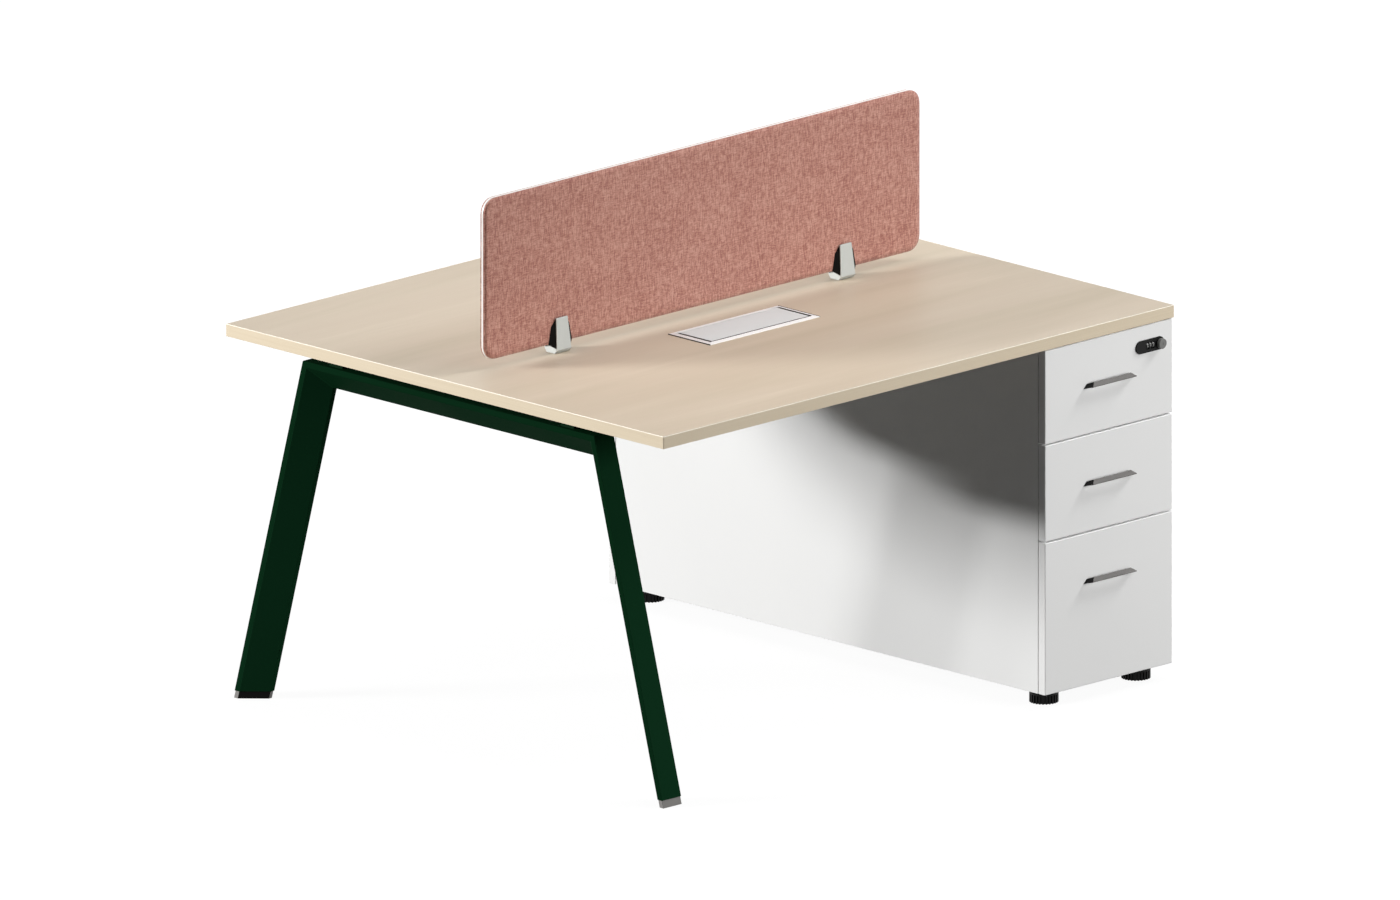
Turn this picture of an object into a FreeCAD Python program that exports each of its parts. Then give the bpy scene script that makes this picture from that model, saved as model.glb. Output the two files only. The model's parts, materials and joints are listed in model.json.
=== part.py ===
"""Face-to-face desk for two people: one shared top on a leaning leg frame and a two-sided drawer cabinet.

Sizes are in millimetres. The origin is on the floor under the middle of the desk. X runs along the desk
towards the cabinet, Y runs across it from the near user to the far user, and Z is up.
"""
import FreeCAD
import Part

import math
import os

Vector = FreeCAD.Vector

# Desktop
DESK_LENGTH = 1400.0
DESK_DEPTH = 1200.0
DESK_HEIGHT = 750.0
BOARD_THICKNESS = 25.0
EDGE_BAND_THICKNESS = 2.0
EDGE_BAND_ARRIS = 0.8

# Leg frame: one five-sided steel tube, mitred at both top corners, with its cut-off corner on the inside
FRAME_END_INSET = 10.0
LEG_FLOOR_INSET = 10.0
LEG_LEAN_DEG = 15.0
TUBE_WIDTH = 53.0
TUBE_DEPTH = 55.0
TUBE_FRONT_FLAT = 12.0
TUBE_BACK_FLAT = 10.0
TUBE_WALL = 2.0
FRAME_DROP = 13.0
CAP_HEIGHT = 15.0
CAP_INSET = 1.5
CAP_PLUG_LENGTH = 20.0

# Desk beams, from the leg frame to the cabinet
BEAM_SPACING = 634.0
BEAM_WIDTH = 36.0
BEAM_HEIGHT = 40.0
BEAM_WALL = 2.0
TONGUE_INSET = 9.0
SPIGOT_LENGTH = 50.0
END_PLATE_THICKNESS = 4.0
END_PLATE_WING = 18.0

# Screen, its trim and its two clamps
SCREEN_LENGTH = 1194.0
SCREEN_HEIGHT = 324.0
SCREEN_THICKNESS = 11.0
SCREEN_LIFT = 19.0
SCREEN_CORNER_RADIUS = 30.0
TRIM_THICKNESS = 2.0
TRIM_WIDTH = 8.0
CLAMP_SPACING = 778.0
CLAMP_HEIGHT = 70.0
CLAMP_TOP_WIDTH = 31.0
CLAMP_FOOT_WIDTH = 41.0
CLAMP_TOP_REACH = 11.0
CLAMP_FOOT_REACH = 17.4
CLAMP_PLATE = 2.5
CLAMP_SHOULDER = 7.0
PAD_FOOT_WIDTH = 66.0
PAD_SHOULDER_WIDTH = 51.0
PAD_SHOULDER_HEIGHT = 54.0
PAD_TOP_WIDTH = 26.0
PAD_TOP_DROP = 2.0

# Cable boxes, one for each user
BOX_LENGTH = 300.0
BOX_WIDTH = 116.0
BOX_SCREEN_DISTANCE = 121.0
RIM_WIDTH = 10.0
RIM_EDGE_HEIGHT = 1.0
RIM_HEIGHT = 3.0
SKIRT_THICKNESS = 4.0
SKIRT_DEPTH = 8.0
CUTOUT_CLEARANCE = 1.0
TUB_DEPTH = 78.0
TUB_WALL = 2.0
OUTLET_LENGTH = 100.0
OUTLET_WIDTH = 40.0
LID_END_GAP = 7.0
LID_NEAR_GAP = 3.0
LID_THICKNESS = 2.5
LID_SINK = 0.2
LID_REST_GAP = 0.3
LEDGE_WIDTH = 6.0
LEDGE_THICKNESS = 2.0
BARREL_RADIUS = 3.8
BARREL_WALL_GAP = 1.2
LID_PIN_RADIUS = 1.5
LID_PIN_CLEARANCE = 0.1
LID_PIN_ENGAGEMENT = 8.0

# Cabinet
CABINET_WIDTH = 348.0
CABINET_END_INSET = 4.0
CABINET_FRONT_INSET = 2.0
PANEL_THICKNESS = 16.0
FRONT_THICKNESS = 18.0
FRONT_STANDOFF = 2.0
FRONT_GAP = 3.0
FRONT_TOP_GAP = 2.0
FRONT_ARRIS = 1.0
FOOT_HEIGHT = 32.0
TOP_PITCH = 191.0
MIDDLE_PITCH = 195.6
HANDLE_DROPS = {"top": 83.0, "middle": 88.0, "bottom": 88.0}
SIDE_TOP_DROPS = {"top": 63.0, "middle": 30.0, "bottom": 30.0}

# Drawer boxes and their runners
BOX_LIFT = 28.0
DRAWER_BACK_GAP = 72.0
DRAWER_SIDE = 12.0
DRAWER_BOTTOM = 5.0
DRAWER_BOTTOM_LIFT = 8.0
GROOVE_DEPTH = 6.0
RUNNER_SPACE = 13.0
RUNNER_HEIGHT = 42.0
RUNNER_LIFT = 12.0
RUNNER_SHEET = 1.5
RUNNER_REACH = 10.0
RUNNER_PLAY = 0.35
RUNNER_SETBACK = 4.0

# Handles
HANDLE_LOWER_LENGTH = 120.0
HANDLE_UPPER_LENGTH = 100.0
HANDLE_LOWER_REACH = 18.0
HANDLE_UPPER_REACH = 10.0
HANDLE_RISE = 7.0
HANDLE_FOOT_LOWER_LENGTH = 140.0
HANDLE_FOOT_UPPER_LENGTH = 122.0
HANDLE_FOOT_DROP = 6.0
HANDLE_FOOT_RISE = 9.0
HANDLE_STRIP = 2.5
HANDLE_FOOT_THICKNESS = 9.0

# Combination locks on the two top drawers
LOCK_PLATE_LENGTH = 77.0
LOCK_PLATE_HEIGHT = 26.0
LOCK_PLATE_THICKNESS = 3.0
LOCK_SIDE_INSET = 24.0
LOCK_DROP = 41.5
LOCK_BODY_MARGIN = 3.0
LOCK_BODY_END_MARGIN = 6.0
LOCK_BODY_BACK = 6.0
WHEEL_COUNT = 3
WHEEL_PITCH = 7.8
WHEEL_WIDTH = 6.0
WHEEL_RADIUS = 6.5
WHEEL_PROUD = 1.2
WHEEL_FACETS = 10
WHEEL_CLEARANCE = 0.5
WHEEL_SPINDLE_RADIUS = 1.5
SPINDLE_FACETS = 6
SPINDLE_CLEARANCE = 0.1
KNOB_RADIUS = 10.15
KNOB_LENGTH = 6.6
KNOB_EDGE = 0.8
COLLAR_RADIUS = 8.4
COLLAR_LENGTH = 2.5
KNOB_GAP = 0.3
LOCK_SHAFT_RADIUS = 3.5
LOCK_SHAFT_CLEARANCE = 0.1
CAM_LENGTH = 36.0
CAM_WIDTH = 10.0
CAM_THICKNESS = 2.5
CAM_CLEARANCE = 2.0
STRIKE_THICKNESS = 3.0

# Levelling feet under the cabinet
FOOT_RADIUS = 28.75
FOOT_RIB_COUNT = 32
FOOT_RIB_HEIGHT = 11.0
FOOT_RIB_DEPTH = 1.4
FOOT_SKIRT_INSET = 0.3
FOOT_SEAT_GAP = 0.3
FOOT_STEM_RADIUS = 5.0
FOOT_STEM_LENGTH = 22.0
FOOT_STEM_CLEARANCE = 0.1
FOOT_INNER_INSET = 54.5
FOOT_OUTER_INSET = 41.5
FOOT_FRONT_INSET = 38.0

# How far a cutting shape runs past the piece that it cuts, and how far a flat side's corners may lie off its plane
OVERRUN = 5.0
FLATNESS = 0.001

# Places worked out from the sizes above
HALF_LENGTH = DESK_LENGTH / 2
HALF_DEPTH = DESK_DEPTH / 2
UNDERSIDE_Z = DESK_HEIGHT - BOARD_THICKNESS
FRAME_X = -HALF_LENGTH + FRAME_END_INSET
FRAME_TOP_Z = UNDERSIDE_Z - FRAME_DROP
FRAME_BACK_X = FRAME_X + TUBE_WIDTH
LEAN = math.radians(LEG_LEAN_DEG)
CABINET_OUTER_X = HALF_LENGTH - CABINET_END_INSET
CABINET_INNER_X = CABINET_OUTER_X - CABINET_WIDTH
CABINET_MIDDLE_X = (CABINET_INNER_X + CABINET_OUTER_X) / 2
FRONT_FACE_Y = HALF_DEPTH - CABINET_FRONT_INSET
CARCASS_Y = FRONT_FACE_Y - FRONT_THICKNESS - FRONT_STANDOFF
BAY_INNER_X = CABINET_INNER_X + PANEL_THICKNESS
BAY_OUTER_X = CABINET_OUTER_X - PANEL_THICKNESS
BASE_TOP_Z = FOOT_HEIGHT + PANEL_THICKNESS
CABINET_LID_Z = UNDERSIDE_Z - PANEL_THICKNESS
LOCK_X = CABINET_OUTER_X - LOCK_SIDE_INSET - LOCK_PLATE_LENGTH / 2
KNOB_X = LOCK_X + LOCK_PLATE_LENGTH / 2 - LOCK_PLATE_HEIGHT / 2
LOCK_Z = UNDERSIDE_Z - FRONT_TOP_GAP - LOCK_DROP
FRONT_PITCHES = {
    "top": TOP_PITCH,
    "middle": MIDDLE_PITCH,
    "bottom": UNDERSIDE_Z - FOOT_HEIGHT - TOP_PITCH - MIDDLE_PITCH,
}
DRAWER_BACK_Y = -PANEL_THICKNESS / 2 - DRAWER_BACK_GAP
SIDES = {"near": -1, "far": 1}


# Shapes used by several pieces

def block(low, high):
    """A box between two corners."""
    return Part.makeBox(high[0] - low[0], high[1] - low[1], high[2] - low[2], Vector(*low))


def rod(radius, start, end):
    """A round bar from one point to another."""
    axis = end - start
    return Part.makeCylinder(radius, axis.Length, start, axis)


def polygon(points):
    """A closed wire through the points."""
    return Part.makePolygon(list(points) + [points[0]])


def prism(points, direction):
    """The closed outline through the points, pushed along a direction."""
    return Part.Face(polygon(points)).extrude(direction)


def flat_faces(a, b, c, d):
    """The side through four corners: one flat face, or two triangles where it is twisted."""
    normal = (b - a).cross(c - a)
    if abs(normal.dot(d - a)) < FLATNESS * normal.Length:
        return [Part.Face(polygon([a, b, c, d]))]
    return [Part.Face(polygon([a, b, c])), Part.Face(polygon([a, c, d]))]


def skinned(sections):
    """A solid with flat sides through flat sections that have the same number of corners."""
    faces = [Part.Face(polygon(sections[0])), Part.Face(polygon(sections[-1]))]
    for start, end in zip(sections, sections[1:]):
        for index in range(len(start)):
            faces += flat_faces(start[index - 1], start[index], end[index], end[index - 1])
    skin = Part.makeCompound(faces)
    skin.sewShape()
    solid = Part.makeSolid(skin.Shells[0])
    return solid if solid.Volume > 0 else solid.reversed()


def inset_outline(corners, distance):
    """A convex anticlockwise outline with each edge moved inwards."""
    lines = []
    for (x0, y0), (x1, y1) in zip(corners, corners[1:] + corners[:1]):
        length = math.hypot(x1 - x0, y1 - y0)
        normal = (-(y1 - y0) / length, (x1 - x0) / length)
        lines.append((normal, normal[0] * x0 + normal[1] * y0 + distance))
    result = []
    for (n0, d0), (n1, d1) in zip(lines[-1:] + lines[:-1], lines):
        cross = n0[0] * n1[1] - n0[1] * n1[0]
        result.append(((d0 * n1[1] - d1 * n0[1]) / cross, (n0[0] * d1 - n1[0] * d0) / cross))
    return result


def rounded_plate(length, height, thickness, radius, centre):
    """An upright plate with rounded corners, its thickness along Y."""
    plate = block(
        (centre.x - length / 2, centre.y - thickness / 2, centre.z - height / 2),
        (centre.x + length / 2, centre.y + thickness / 2, centre.z + height / 2),
    )
    corners = [edge for edge in plate.Edges if is_along(edge, Vector(0, 1, 0))]
    return plate.makeFillet(radius, corners)


def is_along(edge, direction):
    """Whether a straight edge runs along a direction."""
    return abs(edge.tangentAt(edge.FirstParameter).dot(direction)) > math.cos(math.radians(1))


def half_turn(shape, x):
    """A copy of a near-side shape for the far side, turned about an upright axis at x."""
    copy = shape.copy()
    copy.rotate(Vector(x, 0, 0), Vector(0, 0, 1), 180)
    return copy


def mirrored_x(shape, x):
    """A copy mirrored in the upright plane square to X at x."""
    return shape.mirror(Vector(x, 0, 0), Vector(1, 0, 0))


def mirrored_y(shape):
    """A copy mirrored to the other user's side."""
    return shape.mirror(Vector(0, 0, 0), Vector(0, 1, 0))


# Desktop and its edge band

def cutout(clearance, low_z, high_z):
    """The near cable box's hole through the desktop, grown by a clearance."""
    half_length = BOX_LENGTH / 2 - RIM_WIDTH + SKIRT_THICKNESS + clearance
    half_width = BOX_WIDTH / 2 - RIM_WIDTH + SKIRT_THICKNESS + clearance
    return block(
        (-half_length, -BOX_SCREEN_DISTANCE - half_width, low_z),
        (half_length, -BOX_SCREEN_DISTANCE + half_width, high_z),
    )


def desktop_parts():
    """The board with its holes, and the four strips round its edge."""
    outer = block((-HALF_LENGTH, -HALF_DEPTH, UNDERSIDE_Z), (HALF_LENGTH, HALF_DEPTH, DESK_HEIGHT))
    level_edges = [edge for edge in outer.Edges if not is_along(edge, Vector(0, 0, 1))]
    outer = outer.makeChamfer(EDGE_BAND_ARRIS, level_edges)
    half_length = HALF_LENGTH - EDGE_BAND_THICKNESS
    half_depth = HALF_DEPTH - EDGE_BAND_THICKNESS
    board = block((-half_length, -half_depth, UNDERSIDE_Z), (half_length, half_depth, DESK_HEIGHT))
    strips = []
    for side in (-1, 1):
        long_low = (-HALF_LENGTH, min(side * half_depth, side * HALF_DEPTH), UNDERSIDE_Z)
        long_high = (HALF_LENGTH, max(side * half_depth, side * HALF_DEPTH), DESK_HEIGHT)
        strips.append(outer.common(block(long_low, long_high)))
        short_low = (min(side * half_length, side * HALF_LENGTH), -half_depth, UNDERSIDE_Z)
        short_high = (max(side * half_length, side * HALF_LENGTH), half_depth, DESK_HEIGHT)
        strips.append(outer.common(block(short_low, short_high)))
    hole = cutout(CUTOUT_CLEARANCE, UNDERSIDE_Z - OVERRUN, DESK_HEIGHT + OVERRUN)
    return {"desktop": [board.cut([hole, mirrored_y(hole)])], "desktop_edge_band": strips}


# Leg frame

def tube_outline(inset):
    """Corners of the tube, as (along the desk, inwards from the outer side), with each wall inset."""
    corners = [
        (0.0, 0.0),
        (TUBE_WIDTH, 0.0),
        (TUBE_WIDTH, TUBE_DEPTH),
        (TUBE_WIDTH - TUBE_BACK_FLAT, TUBE_DEPTH),
        (0.0, TUBE_FRONT_FLAT),
    ]
    return inset_outline(corners, inset)


def leg_y(z, inward):
    """How far from the middle a leg's line lies at a height, counted inwards from its outer side."""
    return HALF_DEPTH - LEG_FLOOR_INSET - z * math.tan(LEAN) - inward / math.cos(LEAN)


def mitre_section(side, inset):
    """The tube's outline on the mitre between a leg and the crossbar."""
    outer_y = leg_y(FRAME_TOP_Z, 0)
    inner_y = leg_y(FRAME_TOP_Z - TUBE_DEPTH, TUBE_DEPTH)
    points = []
    for along, inward in tube_outline(inset):
        y = outer_y + (inner_y - outer_y) * inward / TUBE_DEPTH
        points.append(Vector(FRAME_X + along, side * y, FRAME_TOP_Z - inward))
    return points


def level_section(side, z, inset):
    """The tube's outline where a leg is cut level at a height."""
    return [Vector(FRAME_X + along, side * leg_y(z, inward), z) for along, inward in tube_outline(inset)]


def leg_frame_parts():
    """Two hollow legs and the crossbar, mitred like a picture frame, and a cap in the foot of each leg."""
    parts = {}
    caps = []
    for name, side in SIDES.items():
        outer = skinned([level_section(side, CAP_HEIGHT, 0), mitre_section(side, 0)])
        hollow = skinned([level_section(side, CAP_HEIGHT, TUBE_WALL), mitre_section(side, TUBE_WALL)])
        parts[name + "_leg"] = [outer.cut(hollow)]
        plug_top = CAP_HEIGHT + CAP_PLUG_LENGTH
        cap = skinned([level_section(side, 0, CAP_INSET), level_section(side, CAP_HEIGHT, CAP_INSET)])
        plug = skinned([level_section(side, CAP_HEIGHT, TUBE_WALL), level_section(side, plug_top, TUBE_WALL)])
        caps.append(cap.fuse(plug))
    outer = skinned([mitre_section(-1, 0), mitre_section(1, 0)])
    hollow = skinned([mitre_section(-1, TUBE_WALL), mitre_section(1, TUBE_WALL)])
    parts["leg_crossbar"] = [outer.cut(hollow)]
    parts["leg_foot_caps"] = caps
    return parts


# Desk beams

def beam_parts():
    """Two hollow beams, each with a cast tongue at the leg frame and a plate at the cabinet."""
    beam_end = CABINET_INNER_X - END_PLATE_THICKNESS
    bottom_z = UNDERSIDE_Z - BEAM_HEIGHT
    solids = []
    for side in SIDES.values():
        y = side * BEAM_SPACING / 2
        half = BEAM_WIDTH / 2
        tube = block((FRAME_BACK_X, y - half, bottom_z), (beam_end, y + half, UNDERSIDE_Z))
        bore_low = (FRAME_BACK_X - OVERRUN, y - half + BEAM_WALL, bottom_z + BEAM_WALL)
        bore_high = (beam_end + OVERRUN, y + half - BEAM_WALL, UNDERSIDE_Z - BEAM_WALL)
        tube = tube.cut(block(bore_low, bore_high))
        tongue = block((FRAME_X + TONGUE_INSET, y - half, FRAME_TOP_Z), (FRAME_BACK_X, y + half, UNDERSIDE_Z))
        spigot_low = (FRAME_BACK_X, y - half + BEAM_WALL, bottom_z + BEAM_WALL)
        spigot_high = (FRAME_BACK_X + SPIGOT_LENGTH, y + half - BEAM_WALL, UNDERSIDE_Z - BEAM_WALL)
        bracket = tongue.fuse(block(spigot_low, spigot_high)).removeSplitter()
        plate_half = half + END_PLATE_WING
        plate = block((beam_end, y - plate_half, bottom_z), (CABINET_INNER_X, y + plate_half, UNDERSIDE_Z))
        solids += [tube, bracket, plate]
    return {"desk_beams": solids}


# Screen and clamps

def clamp_wall_y(z):
    """How far the clamp plate's outer face stands from the screen's middle plane, at a height over the desk."""
    share = (z - CLAMP_SHOULDER) / (CLAMP_HEIGHT - CLAMP_SHOULDER)
    return CLAMP_FOOT_REACH + (CLAMP_TOP_REACH - CLAMP_FOOT_REACH) * share


def clamp_half_width(z):
    """Half the clamp plate's width at a height over the desk."""
    return (CLAMP_FOOT_WIDTH + (CLAMP_TOP_WIDTH - CLAMP_FOOT_WIDTH) * z / CLAMP_HEIGHT) / 2


def clamp_floor_z():
    """Height over the desk where the clamp's sloping floor meets the inside of its plates."""
    fall = (SCREEN_LIFT - CLAMP_SHOULDER) / (CLAMP_FOOT_REACH - SCREEN_THICKNESS / 2)
    return CLAMP_SHOULDER + CLAMP_PLATE * fall


def clamp_body(x):
    """A folded clamp: a block on the desk and two plates that lean in towards the screen."""
    half_slot = SCREEN_THICKNESS / 2
    bevel = CLAMP_SHOULDER * (CLAMP_FOOT_REACH - CLAMP_TOP_REACH) / CLAMP_SHOULDER
    right = [
        (half_slot, SCREEN_LIFT),
        (clamp_wall_y(clamp_floor_z()) - CLAMP_PLATE, clamp_floor_z()),
        (CLAMP_TOP_REACH - CLAMP_PLATE, CLAMP_HEIGHT),
        (CLAMP_TOP_REACH, CLAMP_HEIGHT),
        (CLAMP_FOOT_REACH, CLAMP_SHOULDER),
        (CLAMP_FOOT_REACH - bevel, 0.0),
    ]
    outline = right + [(-y, z) for y, z in reversed(right)]
    start_x = x - CLAMP_FOOT_WIDTH / 2
    body = prism([Vector(start_x, y, DESK_HEIGHT + z) for y, z in outline], Vector(CLAMP_FOOT_WIDTH, 0, 0))
    far_y = CLAMP_FOOT_REACH + OVERRUN
    corners = [
        Vector(x - clamp_half_width(0), -far_y, DESK_HEIGHT),
        Vector(x + clamp_half_width(0), -far_y, DESK_HEIGHT),
        Vector(x + clamp_half_width(CLAMP_HEIGHT), -far_y, DESK_HEIGHT + CLAMP_HEIGHT),
        Vector(x - clamp_half_width(CLAMP_HEIGHT), -far_y, DESK_HEIGHT + CLAMP_HEIGHT),
    ]
    return body.common(prism(corners, Vector(0, 2 * far_y, 0)))


def clamp_pad(x):
    """The near rubber block between a clamp plate and the screen, wide at the screen and narrow at the plate."""
    top_z = CLAMP_HEIGHT - PAD_TOP_DROP
    at_screen = [
        (PAD_FOOT_WIDTH / 2, SCREEN_LIFT),
        (PAD_SHOULDER_WIDTH / 2, PAD_SHOULDER_HEIGHT),
        (PAD_TOP_WIDTH / 2, top_z),
    ]
    at_plate = [
        (clamp_half_width(clamp_floor_z()), clamp_floor_z()),
        (clamp_half_width(PAD_SHOULDER_HEIGHT), PAD_SHOULDER_HEIGHT),
        (PAD_TOP_WIDTH / 2, top_z),
    ]
    sections = []
    for outline, is_plate in ((at_screen, False), (at_plate, True)):
        ring = outline + [(-half, z) for half, z in reversed(outline)]
        points = []
        for half, z in ring:
            y = clamp_wall_y(z) - CLAMP_PLATE if is_plate else SCREEN_THICKNESS / 2
            points.append(Vector(x + half, -y, DESK_HEIGHT + z))
        sections.append(points)
    return skinned(sections)


def screen_parts():
    """The fabric panel, the trim round it, and two clamps with their rubber blocks."""
    middle = Vector(0, 0, DESK_HEIGHT + SCREEN_LIFT + SCREEN_HEIGHT / 2)
    inner_length = SCREEN_LENGTH - 2 * TRIM_THICKNESS
    inner_height = SCREEN_HEIGHT - 2 * TRIM_THICKNESS
    inner_radius = SCREEN_CORNER_RADIUS - TRIM_THICKNESS
    panel = rounded_plate(inner_length, inner_height, SCREEN_THICKNESS, inner_radius, middle)
    trim = rounded_plate(SCREEN_LENGTH, SCREEN_HEIGHT, TRIM_WIDTH, SCREEN_CORNER_RADIUS, middle)
    trim = trim.cut(rounded_plate(inner_length, inner_height, SCREEN_THICKNESS, inner_radius, middle))
    clamps = []
    pads = []
    for side in (-1, 1):
        x = side * CLAMP_SPACING / 2
        clamps.append(clamp_body(x))
        pads += [clamp_pad(x), mirrored_y(clamp_pad(x))]
    return {
        "screen_panel": [panel],
        "screen_edge_trim": [trim],
        "screen_clamps": clamps,
        "clamp_pads": pads,
    }


# Cable boxes

def opening_block(low_z, high_z):
    """The clear opening inside the near cable box's rim."""
    half_length = BOX_LENGTH / 2 - RIM_WIDTH
    half_width = BOX_WIDTH / 2 - RIM_WIDTH
    return block(
        (-half_length, -BOX_SCREEN_DISTANCE - half_width, low_z),
        (half_length, -BOX_SCREEN_DISTANCE + half_width, high_z),
    )


def lid_axis():
    """A point on the near lid's hinge axis, which runs along X."""
    wall_y = -BOX_SCREEN_DISTANCE + BOX_WIDTH / 2 - RIM_WIDTH
    z = DESK_HEIGHT + RIM_HEIGHT - LID_SINK - BARREL_RADIUS
    return Vector(0, wall_y - BARREL_WALL_GAP - BARREL_RADIUS, z)


def cable_frame():
    """The near cable box's frame: a rim that slopes down to the desk, a skirt and a ledge for the lid."""
    low_z = DESK_HEIGHT + RIM_EDGE_HEIGHT
    high_z = DESK_HEIGHT + RIM_HEIGHT
    corner_signs = ((-1, -1), (1, -1), (1, 1), (-1, 1))
    levels = ((DESK_HEIGHT, 0), (low_z, 0), (high_z, RIM_WIDTH))
    sections = []
    for z, inset in levels:
        half_length = BOX_LENGTH / 2 - inset
        half_width = BOX_WIDTH / 2 - inset
        sections.append([
            Vector(sx * half_length, -BOX_SCREEN_DISTANCE + sy * half_width, z) for sx, sy in corner_signs
        ])
    rim = skinned(sections[:2]).fuse(skinned(sections[1:]))
    skirt = cutout(0, DESK_HEIGHT - SKIRT_DEPTH, DESK_HEIGHT)
    frame = rim.fuse(skirt).cut(opening_block(DESK_HEIGHT - SKIRT_DEPTH - OVERRUN, high_z + OVERRUN))
    ledge_top = high_z - LID_SINK - LID_THICKNESS - LID_REST_GAP
    near_y = -BOX_SCREEN_DISTANCE - BOX_WIDTH / 2 + RIM_WIDTH
    half_length = BOX_LENGTH / 2 - RIM_WIDTH
    ledge = block(
        (-half_length, near_y, ledge_top - LEDGE_THICKNESS),
        (half_length, near_y + LEDGE_WIDTH, ledge_top),
    )
    return frame.fuse(ledge).removeSplitter()


def cable_tub():
    """The near cable box's tub, open at the top, with a cable outlet in its floor."""
    top_z = DESK_HEIGHT - SKIRT_DEPTH
    bottom_z = DESK_HEIGHT - TUB_DEPTH
    outer = cutout(0, bottom_z, top_z)
    inner = cutout(-TUB_WALL, bottom_z + TUB_WALL, top_z + OVERRUN)
    outlet = block(
        (-OUTLET_LENGTH / 2, -BOX_SCREEN_DISTANCE - OUTLET_WIDTH / 2, bottom_z - OVERRUN),
        (OUTLET_LENGTH / 2, -BOX_SCREEN_DISTANCE + OUTLET_WIDTH / 2, bottom_z + TUB_WALL + OVERRUN),
    )
    return outer.cut([inner, outlet])


def lid_pins():
    """The near lid's two hinge pins, fixed in the frame's end walls."""
    axis = lid_axis()
    wall_x = BOX_LENGTH / 2 - RIM_WIDTH
    tip_x = wall_x - LID_END_GAP - LID_PIN_ENGAGEMENT
    pins = []
    for side in (-1, 1):
        start = Vector(side * wall_x, axis.y, axis.z)
        pins.append(rod(LID_PIN_RADIUS, start, Vector(side * tip_x, axis.y, axis.z)))
    return pins


def cable_lid():
    """The near lid: a flat plate with a hinge barrel along its edge at the screen's side."""
    axis = lid_axis()
    half_length = BOX_LENGTH / 2 - RIM_WIDTH - LID_END_GAP
    top_z = DESK_HEIGHT + RIM_HEIGHT - LID_SINK
    near_y = -BOX_SCREEN_DISTANCE - BOX_WIDTH / 2 + RIM_WIDTH + LID_NEAR_GAP
    plate = block((-half_length, near_y, top_z - LID_THICKNESS), (half_length, axis.y, top_z))
    barrel = rod(BARREL_RADIUS, Vector(-half_length, axis.y, axis.z), Vector(half_length, axis.y, axis.z))
    lid = plate.fuse(barrel).removeSplitter()
    bore_radius = LID_PIN_RADIUS + LID_PIN_CLEARANCE
    bore_depth = LID_PIN_ENGAGEMENT + LID_REST_GAP
    for side in (-1, 1):
        start = Vector(side * (half_length + OVERRUN), axis.y, axis.z)
        lid = lid.cut(rod(bore_radius, start, Vector(side * (half_length - bore_depth), axis.y, axis.z)))
    return lid


def cable_box_parts():
    """Frames, tubs, pins and lids for both users."""
    frames = [cable_frame()] + lid_pins()
    frames += [half_turn(frame, 0) for frame in frames]
    return {
        "cable_box_frames": frames,
        "cable_box_tubs": [cable_tub(), half_turn(cable_tub(), 0)],
        "near_cable_lid": [cable_lid()],
        "far_cable_lid": [half_turn(cable_lid(), 0)],
    }


# Cabinet

def foot_places():
    """Centres of the levelling feet, as name to (x, y)."""
    places = {}
    for name, side in SIDES.items():
        y = side * (CARCASS_Y - FOOT_FRONT_INSET)
        places[name + "_inner_foot"] = (CABINET_INNER_X + FOOT_INNER_INSET, y)
        places[name + "_outer_foot"] = (CABINET_OUTER_X - FOOT_OUTER_INSET, y)
    return places


def lock_strike():
    """The near strike strip, which the lock's cam catches behind when it is turned up."""
    low = (BAY_INNER_X, -CARCASS_Y, CABINET_LID_Z)
    return block(low, (BAY_OUTER_X, -CARCASS_Y + STRIKE_THICKNESS, UNDERSIDE_Z))


def cabinet_parts():
    """Side panels, base, top with its two strike strips, and the divider between the two users' drawers."""
    inner = block((CABINET_INNER_X, -CARCASS_Y, FOOT_HEIGHT), (BAY_INNER_X, CARCASS_Y, UNDERSIDE_Z))
    outer = block((BAY_OUTER_X, -CARCASS_Y, FOOT_HEIGHT), (CABINET_OUTER_X, CARCASS_Y, UNDERSIDE_Z))
    base = block((BAY_INNER_X, -CARCASS_Y, FOOT_HEIGHT), (BAY_OUTER_X, CARCASS_Y, BASE_TOP_Z))
    bore_radius = FOOT_STEM_RADIUS + FOOT_STEM_CLEARANCE
    for x, y in foot_places().values():
        base = base.cut(rod(bore_radius, Vector(x, y, FOOT_HEIGHT - OVERRUN), Vector(x, y, BASE_TOP_Z + OVERRUN)))
    top_y = abs(cam_span()[1]) - CAM_CLEARANCE
    top = block((BAY_INNER_X, -top_y, CABINET_LID_Z), (BAY_OUTER_X, top_y, UNDERSIDE_Z))
    half = PANEL_THICKNESS / 2
    divider = block((BAY_INNER_X, -half, BASE_TOP_Z), (BAY_OUTER_X, half, CABINET_LID_Z))
    return {
        "cabinet_sides": [inner, outer],
        "cabinet_base": [base],
        "cabinet_top": [top, lock_strike(), mirrored_y(lock_strike())],
        "cabinet_divider": [divider],
    }


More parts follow.
